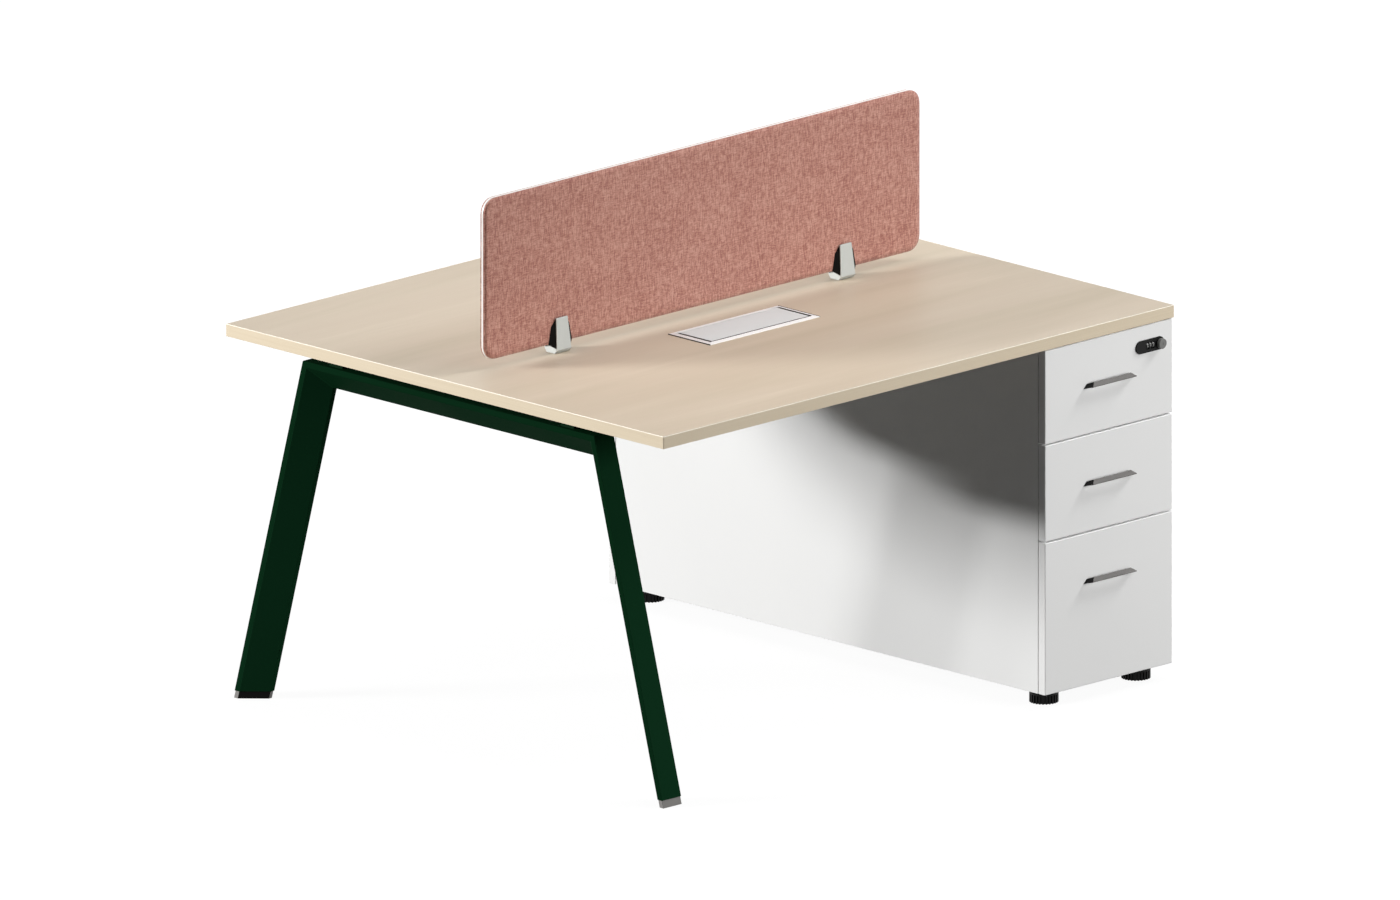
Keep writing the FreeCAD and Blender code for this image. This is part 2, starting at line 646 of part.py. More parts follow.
def levelling_foot(x, y):
    """A round foot with a smooth collar over a ribbed skirt, and the stem that stands on it."""
    top_z = FOOT_HEIGHT - FOOT_SEAT_GAP
    peak = FOOT_RADIUS - FOOT_SKIRT_INSET
    step = 360 / FOOT_RIB_COUNT
    outline = []
    for index in range(FOOT_RIB_COUNT):
        for radius, angle in ((peak, 0), (peak - FOOT_RIB_DEPTH, step / 2)):
            turn = math.radians(index * step + angle)
            outline.append(Vector(x + radius * math.cos(turn), y + radius * math.sin(turn), 0))
    skirt = prism(outline, Vector(0, 0, FOOT_RIB_HEIGHT))
    collar = rod(FOOT_RADIUS, Vector(x, y, FOOT_RIB_HEIGHT), Vector(x, y, top_z))
    stem = rod(FOOT_STEM_RADIUS, Vector(x, y, top_z), Vector(x, y, FOOT_HEIGHT + FOOT_STEM_LENGTH))
    return [skirt.fuse(collar), stem]


# Drawers, drawn for the near side

def drawer_levels():
    """Height of each drawer front's lower and upper edge, from the bottom drawer up."""
    levels = {}
    floor = FOOT_HEIGHT
    for name in ("bottom", "middle", "top"):
        low = floor + (FRONT_GAP / 2 if name != "bottom" else 0)
        floor += FRONT_PITCHES[name]
        high = floor - (FRONT_GAP / 2 if name != "top" else FRONT_TOP_GAP)
        levels[name] = (low, high)
    return levels


def drawer_front(name):
    """A drawer front with a small arris round its face and, in the top one, a hole for the lock."""
    low_z, high_z = drawer_levels()[name]
    back_y = -FRONT_FACE_Y + FRONT_THICKNESS
    front = block((CABINET_INNER_X, -FRONT_FACE_Y, low_z), (CABINET_OUTER_X, back_y, high_z))
    face_edges = [edge for edge in front.Edges if edge.BoundBox.YMax < -FRONT_FACE_Y + OVERRUN]
    front = front.makeChamfer(FRONT_ARRIS, face_edges)
    if name == "top":
        front = front.cut(lock_body_block(-FRONT_FACE_Y - OVERRUN, back_y + OVERRUN))
    return front


def drawer_box(name):
    """Two sides and a back, grooved for the bottom panel, behind one drawer front."""
    low_z, high_z = drawer_levels()[name]
    bottom_z = low_z + BOX_LIFT
    top_z = high_z - SIDE_TOP_DROPS[name]
    front_y = -FRONT_FACE_Y + FRONT_THICKNESS
    back_y = DRAWER_BACK_Y
    left_x = BAY_INNER_X + RUNNER_SPACE
    right_x = BAY_OUTER_X - RUNNER_SPACE
    floor_z = bottom_z + DRAWER_BOTTOM_LIFT
    panel = block(
        (left_x + DRAWER_SIDE - GROOVE_DEPTH, front_y, floor_z),
        (right_x - DRAWER_SIDE + GROOVE_DEPTH, back_y - DRAWER_SIDE + GROOVE_DEPTH, floor_z + DRAWER_BOTTOM),
    )
    left = block((left_x, front_y, bottom_z), (left_x + DRAWER_SIDE, back_y, top_z)).cut(panel)
    right = block((right_x - DRAWER_SIDE, front_y, bottom_z), (right_x, back_y, top_z)).cut(panel)
    back_low = (left_x + DRAWER_SIDE, back_y - DRAWER_SIDE, bottom_z)
    back = block(back_low, (right_x - DRAWER_SIDE, back_y, top_z)).cut(panel)
    return [left, right, back, panel]


def channel(web_x, reach, bottom_z, top_z, start_y, end_y):
    """A folded channel along Y: a web at web_x and two flanges that reach out from it along X."""
    sheet = math.copysign(RUNNER_SHEET, reach)
    outline = [
        (web_x, bottom_z),
        (web_x + reach, bottom_z),
        (web_x + reach, bottom_z + RUNNER_SHEET),
        (web_x + sheet, bottom_z + RUNNER_SHEET),
        (web_x + sheet, top_z - RUNNER_SHEET),
        (web_x + reach, top_z - RUNNER_SHEET),
        (web_x + reach, top_z),
        (web_x, top_z),
    ]
    return prism([Vector(x, start_y, z) for x, z in outline], Vector(0, end_y - start_y, 0))


def runner_span():
    """Where the near runners start and end, along Y."""
    return -CARCASS_Y + RUNNER_SETBACK, DRAWER_BACK_Y - RUNNER_SETBACK


def fixed_rails(name):
    """The pair of channels on the cabinet's sides that carry one drawer."""
    bottom_z = drawer_levels()[name][0] + BOX_LIFT + RUNNER_LIFT
    start_y, end_y = runner_span()
    left = channel(BAY_INNER_X, RUNNER_REACH, bottom_z, bottom_z + RUNNER_HEIGHT, start_y, end_y)
    return [left, mirrored_x(left, CABINET_MIDDLE_X)]


def drawer_runners(name):
    """The pair of channels on one drawer's sides, which slide inside the fixed ones."""
    step = RUNNER_SHEET + RUNNER_PLAY
    bottom_z = drawer_levels()[name][0] + BOX_LIFT + RUNNER_LIFT + step
    top_z = bottom_z + RUNNER_HEIGHT - 2 * step
    start_y, end_y = runner_span()
    left = channel(BAY_INNER_X + RUNNER_SPACE, -RUNNER_REACH, bottom_z, top_z, start_y, end_y)
    return [left, mirrored_x(left, CABINET_MIDDLE_X)]


# Handles

def handle_section(lower, upper, back):
    """Four corners of the handle's strip: its lower and upper edge, then the same two moved towards the back."""
    return [lower, upper, upper + back, lower + back]


def handle(name):
    """A bow handle: one tilted flat strip whose arms splay out and thicken to the drawer front."""
    lower_z = drawer_levels()[name][1] - HANDLE_DROPS[name] - HANDLE_RISE
    face_y = -FRONT_FACE_Y
    foot_lower_z = lower_z - HANDLE_FOOT_DROP
    foot_upper_z = foot_lower_z + HANDLE_FOOT_RISE
    lower_y = face_y - HANDLE_LOWER_REACH
    upper_y = face_y - HANDLE_UPPER_REACH
    slope = math.hypot(upper_y - lower_y, HANDLE_RISE)
    bar_back = Vector(0, HANDLE_RISE, lower_y - upper_y) * (HANDLE_STRIP / slope)
    sections = []
    for side in (-1, 1):
        foot_back = Vector(-side * HANDLE_FOOT_THICKNESS, 0, 0)
        foot_lower = Vector(CABINET_MIDDLE_X + side * HANDLE_FOOT_LOWER_LENGTH / 2, face_y, foot_lower_z)
        foot_upper = Vector(CABINET_MIDDLE_X + side * HANDLE_FOOT_UPPER_LENGTH / 2, face_y, foot_upper_z)
        foot = handle_section(foot_lower, foot_upper, foot_back)
        bar_lower = Vector(CABINET_MIDDLE_X + side * HANDLE_LOWER_LENGTH / 2, lower_y, lower_z)
        bar_upper = Vector(CABINET_MIDDLE_X + side * HANDLE_UPPER_LENGTH / 2, upper_y, lower_z + HANDLE_RISE)
        bar = handle_section(bar_lower, bar_upper, bar_back)
        sections += [foot, bar] if side < 0 else [bar, foot]
    return skinned(sections)


# Combination lock, drawn for the near top drawer

def cam_span():
    """Where the near lock's cam starts and ends, along Y."""
    front_y = -FRONT_FACE_Y + FRONT_THICKNESS + LOCK_BODY_BACK + KNOB_GAP
    return front_y, front_y + CAM_THICKNESS


def lock_plate(start_y, end_y):
    """The lock's plate, with its ends rounded."""
    radius = LOCK_PLATE_HEIGHT / 2
    reach = LOCK_PLATE_LENGTH / 2 - radius
    low = (LOCK_X - reach, start_y, LOCK_Z - radius)
    bar = block(low, (LOCK_X + reach, end_y, LOCK_Z + radius))
    ends = [
        rod(radius, Vector(LOCK_X + side * reach, start_y, LOCK_Z), Vector(LOCK_X + side * reach, end_y, LOCK_Z))
        for side in (-1, 1)
    ]
    return bar.fuse(ends).removeSplitter()


def lock_body_block(start_y, end_y):
    """The part of the lock that goes through the drawer front."""
    half_length = LOCK_PLATE_LENGTH / 2 - LOCK_BODY_END_MARGIN
    half_height = LOCK_PLATE_HEIGHT / 2 - LOCK_BODY_MARGIN
    low = (LOCK_X - half_length, start_y, LOCK_Z - half_height)
    return block(low, (LOCK_X + half_length, end_y, LOCK_Z + half_height))


def wheel_centres():
    """Centre of each digit wheel, from left to right."""
    y = -FRONT_FACE_Y - LOCK_PLATE_THICKNESS - WHEEL_PROUD + WHEEL_RADIUS
    first = LOCK_X - WHEEL_PITCH * (WHEEL_COUNT - 1) / 2
    return [Vector(first + WHEEL_PITCH * index, y, LOCK_Z) for index in range(WHEEL_COUNT)]


def lock_case():
    """The lock's plate and body, with a window for each wheel, a collar for the knob and the wheels' spindle."""
    plate_y = -FRONT_FACE_Y - LOCK_PLATE_THICKNESS
    back_y = -FRONT_FACE_Y + FRONT_THICKNESS + LOCK_BODY_BACK
    case = lock_plate(plate_y, -FRONT_FACE_Y).fuse(lock_body_block(-FRONT_FACE_Y, back_y))
    collar_end = Vector(KNOB_X, plate_y - COLLAR_LENGTH, LOCK_Z)
    case = case.fuse(rod(COLLAR_RADIUS, Vector(KNOB_X, plate_y, LOCK_Z), collar_end)).removeSplitter()
    half_width = WHEEL_WIDTH / 2 + SPINDLE_CLEARANCE * 3
    half_height = WHEEL_RADIUS + WHEEL_CLEARANCE
    for centre in wheel_centres():
        window = block(
            (centre.x - half_width, plate_y - OVERRUN, LOCK_Z - half_height),
            (centre.x + half_width, centre.y + half_height, LOCK_Z + half_height),
        )
        case = case.cut(window)
    bore_radius = LOCK_SHAFT_RADIUS + LOCK_SHAFT_CLEARANCE
    bore_start = Vector(KNOB_X, plate_y - COLLAR_LENGTH - OVERRUN, LOCK_Z)
    case = case.cut(rod(bore_radius, bore_start, Vector(KNOB_X, back_y + OVERRUN, LOCK_Z)))
    centres = wheel_centres()
    reach = Vector(WHEEL_PITCH, 0, 0)
    spindle = faceted_bar(SPINDLE_FACETS, WHEEL_SPINDLE_RADIUS,centres[0] - reach, centres[-1] + reach)
    return case.fuse(spindle).removeSplitter()


def faceted_bar(count, radius, start, end):
    """A bar along X with flat sides, its corners on a circle."""
    points = []
    for index in range(count):
        turn = math.radians(360 * (index + 1 / 2) / count)
        points.append(start + Vector(0, radius * math.cos(turn), radius * math.sin(turn)))
    return prism(points, end - start)


def digit_wheel(centre):
    """One digit wheel: ten shallow facets round a bore, one for each digit."""
    half = Vector(WHEEL_WIDTH / 2, 0, 0)
    wheel = faceted_bar(WHEEL_FACETS, WHEEL_RADIUS, centre - half, centre + half)
    reach = Vector(WHEEL_WIDTH, 0, 0)
    return wheel.cut(rod(WHEEL_SPINDLE_RADIUS + SPINDLE_CLEARANCE, centre - reach, centre + reach))


def lock_knob():
    """The round knob and its shaft, and the cam behind the drawer front, which points along the front at rest."""
    knob_back_y = -FRONT_FACE_Y - LOCK_PLATE_THICKNESS - COLLAR_LENGTH - KNOB_GAP
    knob_front = Vector(KNOB_X, knob_back_y - KNOB_LENGTH, LOCK_Z)
    cap = rod(KNOB_RADIUS, Vector(KNOB_X, knob_back_y, LOCK_Z), knob_front)
    front_edges = [edge for edge in cap.Edges if edge.BoundBox.YMax < knob_front.y + KNOB_EDGE]
    cap = cap.makeChamfer(KNOB_EDGE, front_edges)
    front_y, back_y = cam_span()
    shaft = rod(LOCK_SHAFT_RADIUS, Vector(KNOB_X, knob_back_y, LOCK_Z), Vector(KNOB_X, back_y, LOCK_Z))
    half = CAM_WIDTH / 2
    cam = block((KNOB_X - CAM_LENGTH, front_y, LOCK_Z - half), (KNOB_X + half, back_y, LOCK_Z + half))
    return cap.fuse([shaft, cam]).removeSplitter()


# Everything together

def drawer_parts():
    """Three drawers with handles, runners and a lock for each user; the far set is the near set turned round."""
    parts = {}
    for side_name in SIDES:
        for name in FRONT_PITCHES:
            prefix = side_name + "_" + name + "_"
            near_set = {
                prefix + "drawer_front": [drawer_front(name)],
                prefix + "drawer_box": drawer_box(name),
                prefix + "drawer_runners": drawer_runners(name),
                prefix + "handle": [handle(name)],
            }
            parts.update(near_set)
        parts[side_name + "_lock_case"] = [lock_case()]
        parts[side_name + "_lock_knob"] = [lock_knob()]
        for index, centre in enumerate(wheel_centres()):
            parts[side_name + "_lock_wheel_" + str(index + 1)] = [digit_wheel(centre)]
    for node, solids in parts.items():
        if node.startswith("far_"):
            parts[node] = [half_turn(solid, CABINET_MIDDLE_X) for solid in solids]
    return parts


def build():
    """Every node's solids, by name."""
    rails = [rail for name in FRONT_PITCHES for rail in fixed_rails(name)]
    rails += [half_turn(rail, CABINET_MIDDLE_X) for rail in rails]
    parts = {}
    parts.update(desktop_parts())
    parts.update(leg_frame_parts())
    parts.update(beam_parts())
    parts.update(screen_parts())
    parts.update(cable_box_parts())
    parts.update(cabinet_parts())
    parts["runner_rails"] = rails
    parts.update(drawer_parts())
    for name, (x, y) in foot_places().items():
        parts[name] = levelling_foot(x, y)
    return parts


def main():
    """Write one file per node."""
    os.makedirs("parts", exist_ok=True)
    parts = build()
    for node, shapes in parts.items():
        solids = [solid for shape in shapes for solid in shape.Solids]
        Part.makeCompound(solids).exportStep("parts/" + node + ".step")
    print(len(parts), "nodes")


main()
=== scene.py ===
"""Dresses a face-to-face desk: maple top, green leg frame, fabric screen, cable boxes and a drawer cabinet.

Lengths are in metres, in the model's own frame: X along the desk towards the cabinet, Y from the near user
to the far user, Z up. The far user's pieces are the near ones turned half round.
"""
import json
import logging
import math
from collections.abc import Callable, Iterable, Mapping, Sequence
from dataclasses import dataclass, field
from enum import Enum

import bmesh
import bpy
from mathutils import Matrix, Vector


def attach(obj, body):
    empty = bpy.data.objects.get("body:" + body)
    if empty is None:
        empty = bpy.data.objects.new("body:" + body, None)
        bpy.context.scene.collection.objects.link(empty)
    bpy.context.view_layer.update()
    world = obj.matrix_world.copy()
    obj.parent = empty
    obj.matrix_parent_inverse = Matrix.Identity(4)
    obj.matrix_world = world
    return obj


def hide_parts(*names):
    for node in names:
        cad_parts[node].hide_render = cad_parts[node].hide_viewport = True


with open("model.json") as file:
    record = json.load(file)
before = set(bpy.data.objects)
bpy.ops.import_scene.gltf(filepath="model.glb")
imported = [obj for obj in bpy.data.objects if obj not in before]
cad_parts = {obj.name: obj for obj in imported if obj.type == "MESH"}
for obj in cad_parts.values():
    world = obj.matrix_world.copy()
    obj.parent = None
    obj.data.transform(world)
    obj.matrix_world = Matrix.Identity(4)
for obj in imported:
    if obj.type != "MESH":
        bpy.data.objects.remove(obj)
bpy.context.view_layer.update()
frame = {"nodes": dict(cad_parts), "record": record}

MM = 0.001
log = logging.getLogger("desk")

# The face attribute that says how much of a finish's painted shading a face takes: painted light on some
# finishes, painted shade on others
PAINTED_SHADING = "accent"

# The point attribute that holds the way a screw or wheel faces
FACING = "facing"

# Points of the model that are nearer than this are one
SAME_POINT = 0.02 * MM

# The middle of a noise's range, where most of its values lie
MOST = (0.3, 0.7)

Colour = tuple[float, float, float, float]
Triple = tuple[float, float, float]
Socket = bpy.types.NodeSocket
FaceTest = Callable[[Vector], float]
Seat = tuple[Triple, Triple]
WHITE: Colour = (1.0, 1.0, 1.0, 1.0)


class Side(Enum):
    """Which user a piece serves; the value is the sign of its Y."""

    NEAR = -1
    FAR = 1

    @property
    def word(self) -> str:
        """The side's name as it stands in node names."""
        return self.name.lower()


class Drawer(Enum):
    """A drawer of one user's stack; the value is its name in node names."""

    TOP = "top"
    MIDDLE = "middle"
    BOTTOM = "bottom"


class Grain(Enum):
    """The direction that a board's figure or a metal's brushing runs in."""

    ALONG_X = (0.0, 0.0, 0.0)
    ALONG_Y = (0.0, 0.0, math.pi / 2)
    ALONG_Z = (0.0, math.pi / 2, 0.0)


def srgb(red: int, green: int, blue: int) -> Colour:
    """A display colour of 0 to 255 as linear light.

    Args:
        red: The display red.
        green: The display green.
        blue: The display blue.

    Returns:
        The linear colour with full alpha.
    """
    def light(value: int) -> float:
        """One display channel as linear light."""
        share = value / 255
        return share / 12.92 if share <= 0.04045 else ((share + 0.055) / 1.055) ** 2.4

    return (light(red), light(green), light(blue), 1.0)


# Node trees

class Graph:
    """A node tree that is being wired."""

    def __init__(self, tree: bpy.types.NodeTree) -> None:
        """Keeps the tree that nodes go into."""
        self.tree = tree

    def add(self, kind: str, values: Mapping[int | str, object] | None = None,
            **settings: object) -> bpy.types.Node:
        """Adds a node, sets it up and wires it.

        Args:
            kind: The node's type name.
            values: Input name or number to a value, or to the socket that feeds it.
            **settings: The node's own properties.

        Returns:
            The new node.
        """
        node = self.tree.nodes.new(kind)
        for name, value in settings.items():
            setattr(node, name, value)
        for key, value in (values or {}).items():
            if isinstance(value, bpy.types.NodeSocket):
                self.tree.links.new(value, node.inputs[key])
            else:
                node.inputs[key].default_value = value
        return node

    def out(self, kind: str, values: Mapping[int | str, object] | None = None, **settings: object) -> Socket:
        """Adds a node as add does, and gives its first output."""
        return self.add(kind, values, **settings).outputs[0]

    def calc(self, operation: str, first: Socket | float, second: Socket | float = 0.0) -> Socket:
        """Two numbers put together by a math operation."""
        return self.out("ShaderNodeMath", {0: first, 1: second}, operation=operation)

    def spread(self, value: Socket, low: float, high: float, to_low: float = 0.0,
               to_high: float = 1.0) -> Socket:
        """A value's range stretched to another, and held inside it."""
        values = {"Value": value, "From Min": low, "From Max": high, "To Min": to_low, "To Max": to_high}
        return self.out("ShaderNodeMapRange", values)

    def seen_plainly(self) -> Socket:
        """One for the camera's rays and those that gloss or glass sends on, nought for the rest."""
        rays = self.add("ShaderNodeLightPath").outputs
        seen = self.calc("MAXIMUM", rays["Is Camera Ray"], rays["Is Glossy Ray"])
        return self.calc("MAXIMUM", seen, rays["Is Transmission Ray"])


@dataclass(frozen=True)
class Pattern:
    """A noise: its blotches in a metre along each axis, its finer layers, their strength and its swirl."""

    scale: Triple | float
    detail: float = 2.0
    rough: float = 0.5
    swirl: float = 0.0


class Surface(Graph):
    """A material's nodes: patterns on Object coordinates that end in one Principled shader."""

    def __init__(self, name: str, turn: Grain = Grain.ALONG_X) -> None:
        """Starts a material whose patterns run along a direction.

        Args:
            name: The material's name.
            turn: The direction that its patterns run in.
        """
        self.material = bpy.data.materials.new(name)
        self.material.use_nodes = True
        super().__init__(self.material.node_tree)
        self.shader = next(node for node in self.tree.nodes if node.type == "BSDF_PRINCIPLED")
        place = self.add("ShaderNodeTexCoord").outputs["Object"]
        self.place = self.out("ShaderNodeMapping", {"Vector": place, "Rotation": turn.value})

    def noise(self, pattern: Pattern) -> Socket:
        """The pattern's value at each point, about 0.5 on average."""
        scale = pattern.scale if isinstance(pattern.scale, tuple) else (pattern.scale,) * 3
        moved = self.out("ShaderNodeMapping", {"Vector": self.place, "Scale": scale})
        values = {"Vector": moved, "Scale": 1.0, "Detail": pattern.detail, "Roughness": pattern.rough,
                  "Distortion": pattern.swirl}
        return self.out("ShaderNodeTexNoise", values)

    def ridges(self, pitch: float, axis: str, wander: float) -> Socket:
        """Parallel ridges.

        Args:
            pitch: Metres from ridge to ridge.
            axis: The axis that they are counted along.
            wander: How much they stray.

        Returns:
            The height from 0 to 1.
        """
        values = {"Vector": self.place, "Scale": math.pi / (10 * pitch), "Distortion": wander, "Detail": 2.0,
                  "Detail Scale": 1.5}
        return self.add("ShaderNodeTexWave", values, bands_direction=axis).outputs["Fac"]

    def mean(self, first: Socket, second: Socket, share: float) -> Socket:
        """Two values averaged, with the second one's share."""
        return self.out("ShaderNodeMix", {0: share, 2: first, 3: second})

    def mix(self, share: Socket | float, first: Socket | Colour, second: Socket | Colour,
            blend: str = "MIX") -> Socket:
        """Two colours blended by a share."""
        values = {0: share, 6: first, 7: second}
        return self.add("ShaderNodeMix", values, data_type="RGBA", blend_type=blend).outputs[2]

    def accented(self, colour: Socket, accent: Colour | None) -> Socket:
        """The colour, with the finish's painted light and shade laid on the faces that the piece's own
        attribute marks.
        """
        if accent is None:
            return colour
        marks = self.add("ShaderNodeAttribute", attribute_name=PAINTED_SHADING, attribute_type="GEOMETRY")
        return self.mix(marks.outputs["Fac"], colour, accent)

    def close(self, colour: Socket, rough: Socket, height: Socket, depth: float, strength: float,
              fixed: Mapping[str, object]) -> bpy.types.Material:
        """Feeds the shader and ends the material.

        Args:
            colour: The base colour.
            rough: The roughness.
            height: The relief's height from 0 to 1.
            depth: The relief's full depth in metres.
            strength: How much of the relief is used.
            fixed: Shader input to a value that is the same all over.

        Returns:
            The finished material.
        """
        normal = self.out("ShaderNodeBump", {"Height": height, "Distance": depth, "Strength": strength})
        for name, socket in {"Base Color": colour, "Roughness": rough, "Normal": normal}.items():
            self.tree.links.new(socket, self.shader.inputs[name])
        for name, value in fixed.items():
            self.shader.inputs[name].default_value = value
        return self.material


# Finishes

@dataclass(frozen=True)
class MapleFace:
    """Light maple melamine: broad clouds, fine streaks and short pores along the board."""

    name: str = "maple_face"
    base: Colour = srgb(203, 188, 169)
    pale: Colour = srgb(211, 198, 179)
    deep: Colour = srgb(192, 179, 157)
    pore: Colour = srgb(178, 157, 131)
    clouds: Pattern = Pattern((1.1, 8.0, 8.0), 3.0, 0.55, 0.6)
    bands: Pattern = Pattern((0.7, 26.0, 26.0), swirl=0.3)
    streaks: Pattern = Pattern((9.0, 420.0, 420.0), 4.0, 0.6)
    pores: Pattern = Pattern((55.0, 1700.0, 1700.0))
    depth: float = 0.06 * MM
    specular: float = 0.2

    def material(self) -> bpy.types.Material:
        """The finished maple."""
        surface = Surface(self.name)
        streaks = surface.noise(self.streaks)
        pores = surface.noise(self.pores)
        cloud_share = surface.spread(surface.noise(self.clouds), 0.32, 0.68)
        colour = surface.mix(cloud_share, self.deep, self.pale)
        band_share = surface.spread(surface.noise(self.bands), *MOST, 0.15, 0.75)
        colour = surface.mix(band_share, colour, self.base)
        colour = surface.mix(surface.spread(streaks, 0.35, 0.75, 0.0, 0.28), colour, self.deep)
        colour = surface.mix(surface.spread(pores, 0.66, 0.78, 0.0, 0.30), colour, self.pore)
        rough = surface.spread(streaks, *MOST, 0.43, 0.47)
        height = surface.calc("SUBTRACT", streaks, surface.spread(pores, 0.62, 0.78, 0.0, 0.8))
        return surface.close(colour, rough, height, self.depth, 0.6, {"Specular IOR Level": self.specular})


@dataclass(frozen=True)
class MapleEdge:
    """The paler plastic edge band: fine streaks round the board and a faint sanding texture."""

    name: str = "maple_edge"
    base: Colour = srgb(222, 207, 181)
    deep: Colour = srgb(209, 192, 164)
    # Painted highlight on the band's upward faces and the top of its arris
    arris: Colour = srgb(252, 245, 230)
    streaks: Pattern = Pattern((5.0, 5.0, 620.0), 4.0, 0.6)
    clouds: Pattern = Pattern((3.0, 3.0, 60.0))
    grit: Pattern = Pattern(2600.0, 1.0)
    depth: float = 0.04 * MM
    specular: float = 0.5

    def material(self) -> bpy.types.Material:
        """The finished edge band."""
        surface = Surface(self.name)
        streaks = surface.noise(self.streaks)
        clouds = surface.noise(self.clouds)
        grit = surface.noise(self.grit)
        colour = surface.mix(surface.spread(streaks, 0.3, 0.75, 0.0, 0.6), self.base, self.deep)
        colour = surface.mix(surface.spread(clouds, 0.35, 0.7, 0.0, 0.25), colour, self.deep)
        colour = surface.accented(colour, self.arris)
        rough = surface.spread(grit, *MOST, 0.24, 0.32)
        height = surface.calc("ADD", streaks, grit)
        return surface.close(colour, rough, height, self.depth, 0.4, {"Specular IOR Level": self.specular})


@dataclass(frozen=True)
class Grained:
    """A finish in two close shades, with a fine grain in its relief and in its gloss.

    The shade follows the grain where it is brushed, else a slow drift. An uneven one's gloss follows both.
    """

    name: str
    colour: Colour
    shade: Colour
    rough: float = 0.42
    depth: float = 0.04 * MM
    specular: float = 0.5
    grain: Pattern = Pattern(2200.0, 2.0, 0.55)
    drift: Pattern = Pattern(30.0)
    shade_share: float = 0.6
    smoother: float = 0.04
    rougher: float = 0.08
    strength: float = 0.7
    brushed: bool = False
    uneven: bool = False
    turn: Grain = Grain.ALONG_X
    tint: Colour = WHITE
    metallic: float = 0.0
    # Painted light and shade for the faces that a piece marks, set by the way each face looks
    accent: Colour | None = None

    def material(self) -> bpy.types.Material:
        """The finished surface."""
        surface = Surface(self.name, self.turn)
        grain = surface.noise(self.grain)
        drift = surface.noise(self.drift)
        share = surface.spread(grain if self.brushed else drift, *MOST, 0.0, self.shade_share)
        colour = surface.accented(surface.mix(share, self.colour, self.shade), self.accent)
        levels = (self.rough - self.smoother, self.rough + self.rougher)
        if self.uneven:
            rough = surface.spread(surface.calc("ADD", grain, drift), 0.7, 1.3, *levels)
        else:
            rough = surface.spread(grain, *MOST, *levels)
        fixed = {"Specular IOR Level": self.specular, "Specular Tint": self.tint, "Metallic": self.metallic}
        return surface.close(colour, rough, grain, self.depth, self.strength, fixed)


@dataclass(frozen=True)
class Moulded(Grained):
    """Moulded plastic or rubber with a fine spark-eroded texture."""


@dataclass(frozen=True)
class PowderCoat(Grained):
    """Baked powder paint on steel, with its fine orange peel."""

    rough: float = 0.6
    depth: float = 0.06 * MM
    grain: Pattern = Pattern(900.0, 2.0, 0.55)
    drift: Pattern = Pattern(6.0)
    shade_share: float = 0.55
    smoother: float = 0.05
    uneven: bool = True


@dataclass(frozen=True)
class Melamine(Grained):
    """White melamine-faced board with its fine pebbled press texture."""

    rough: float = 0.44
    depth: float = 0.05 * MM
    specular: float = 0.2
    grain: Pattern = Pattern(1300.0)
    drift: Pattern = Pattern(2.5, 3.0)
    shade_share: float = 0.5
    rougher: float = 0.07
    strength: float = 0.6


def brushing(length: float) -> Pattern:
    """Long thin marks, so many in a metre along the stroke."""
    return Pattern((length, 2400.0, 2400.0), 3.0, 0.6)


@dataclass(frozen=True)
class SatinMetal(Grained):
    """Bare or plated metal with brushing or blasting marks."""

    depth: float = 0.02 * MM
    grain: Pattern = brushing(40.0)
    drift: Pattern = Pattern(14.0)
    shade_share: float = 0.5
    smoother: float = 0.06
    strength: float = 0.6
    brushed: bool = True
    uneven: bool = True
    metallic: float = 1.0


@dataclass(frozen=True)
class MelangeCloth:
    """Plain-woven wool-look cloth whose yarns are spun from light and dark fibres."""

    name: str
    base: Colour
    pale: Colour
    deep: Colour
    across: Pattern = Pattern((90.0, 60.0, 560.0))
    upright: Pattern = Pattern((560.0, 60.0, 75.0))
    flecks: Pattern = Pattern((640.0, 60.0, 640.0), rough=0.6)
    drift: Pattern = Pattern((11.0, 4.0, 9.0), 3.0, 0.6)
    yarn: float = 1.3 * MM
    wander: float = 0.6
    depth: float = 0.35 * MM
    specular: float = 0.25
    sheen: float = 0.25
    sheen_rough: float = 0.6

    def material(self) -> bpy.types.Material:
        """The finished cloth."""
        surface = Surface(self.name)
        flecks = surface.noise(self.flecks)
        fibres = surface.mean(surface.noise(self.across), surface.noise(self.upright), 0.58)
        fibres = surface.mean(fibres, flecks, 0.25)
        fibres = surface.mean(fibres, surface.noise(self.drift), 0.06)
        colour = surface.mix(surface.spread(fibres, 0.415, 0.50), self.deep, self.base)
        colour = surface.mix(surface.spread(fibres, 0.50, 0.585), colour, self.pale)
        warp, weft = (surface.ridges(self.yarn, axis, self.wander) for axis in "XZ")
        weave = surface.calc("MULTIPLY", warp, weft)
        # Painted shade: the colour is darkened in the weave's hollows between the yarns
        hollow_shade = surface.spread(weave, 0.0, 0.30, 0.86, 1.0)
        shaded = surface.out("ShaderNodeCombineColor", {0: hollow_shade, 1: hollow_shade, 2: hollow_shade})
        colour = surface.mix(1.0, colour, shaded, "MULTIPLY")
        rough = surface.spread(flecks, *MOST, 0.86, 0.97)
        height = surface.calc("ADD", weave, surface.calc("MULTIPLY", flecks, 0.5))
        fixed = {"Sheen Weight": self.sheen, "Sheen Roughness": self.sheen_rough,
                 "Specular IOR Level": self.specular}
        return surface.close(colour, rough, height, self.depth, 0.8, fixed)


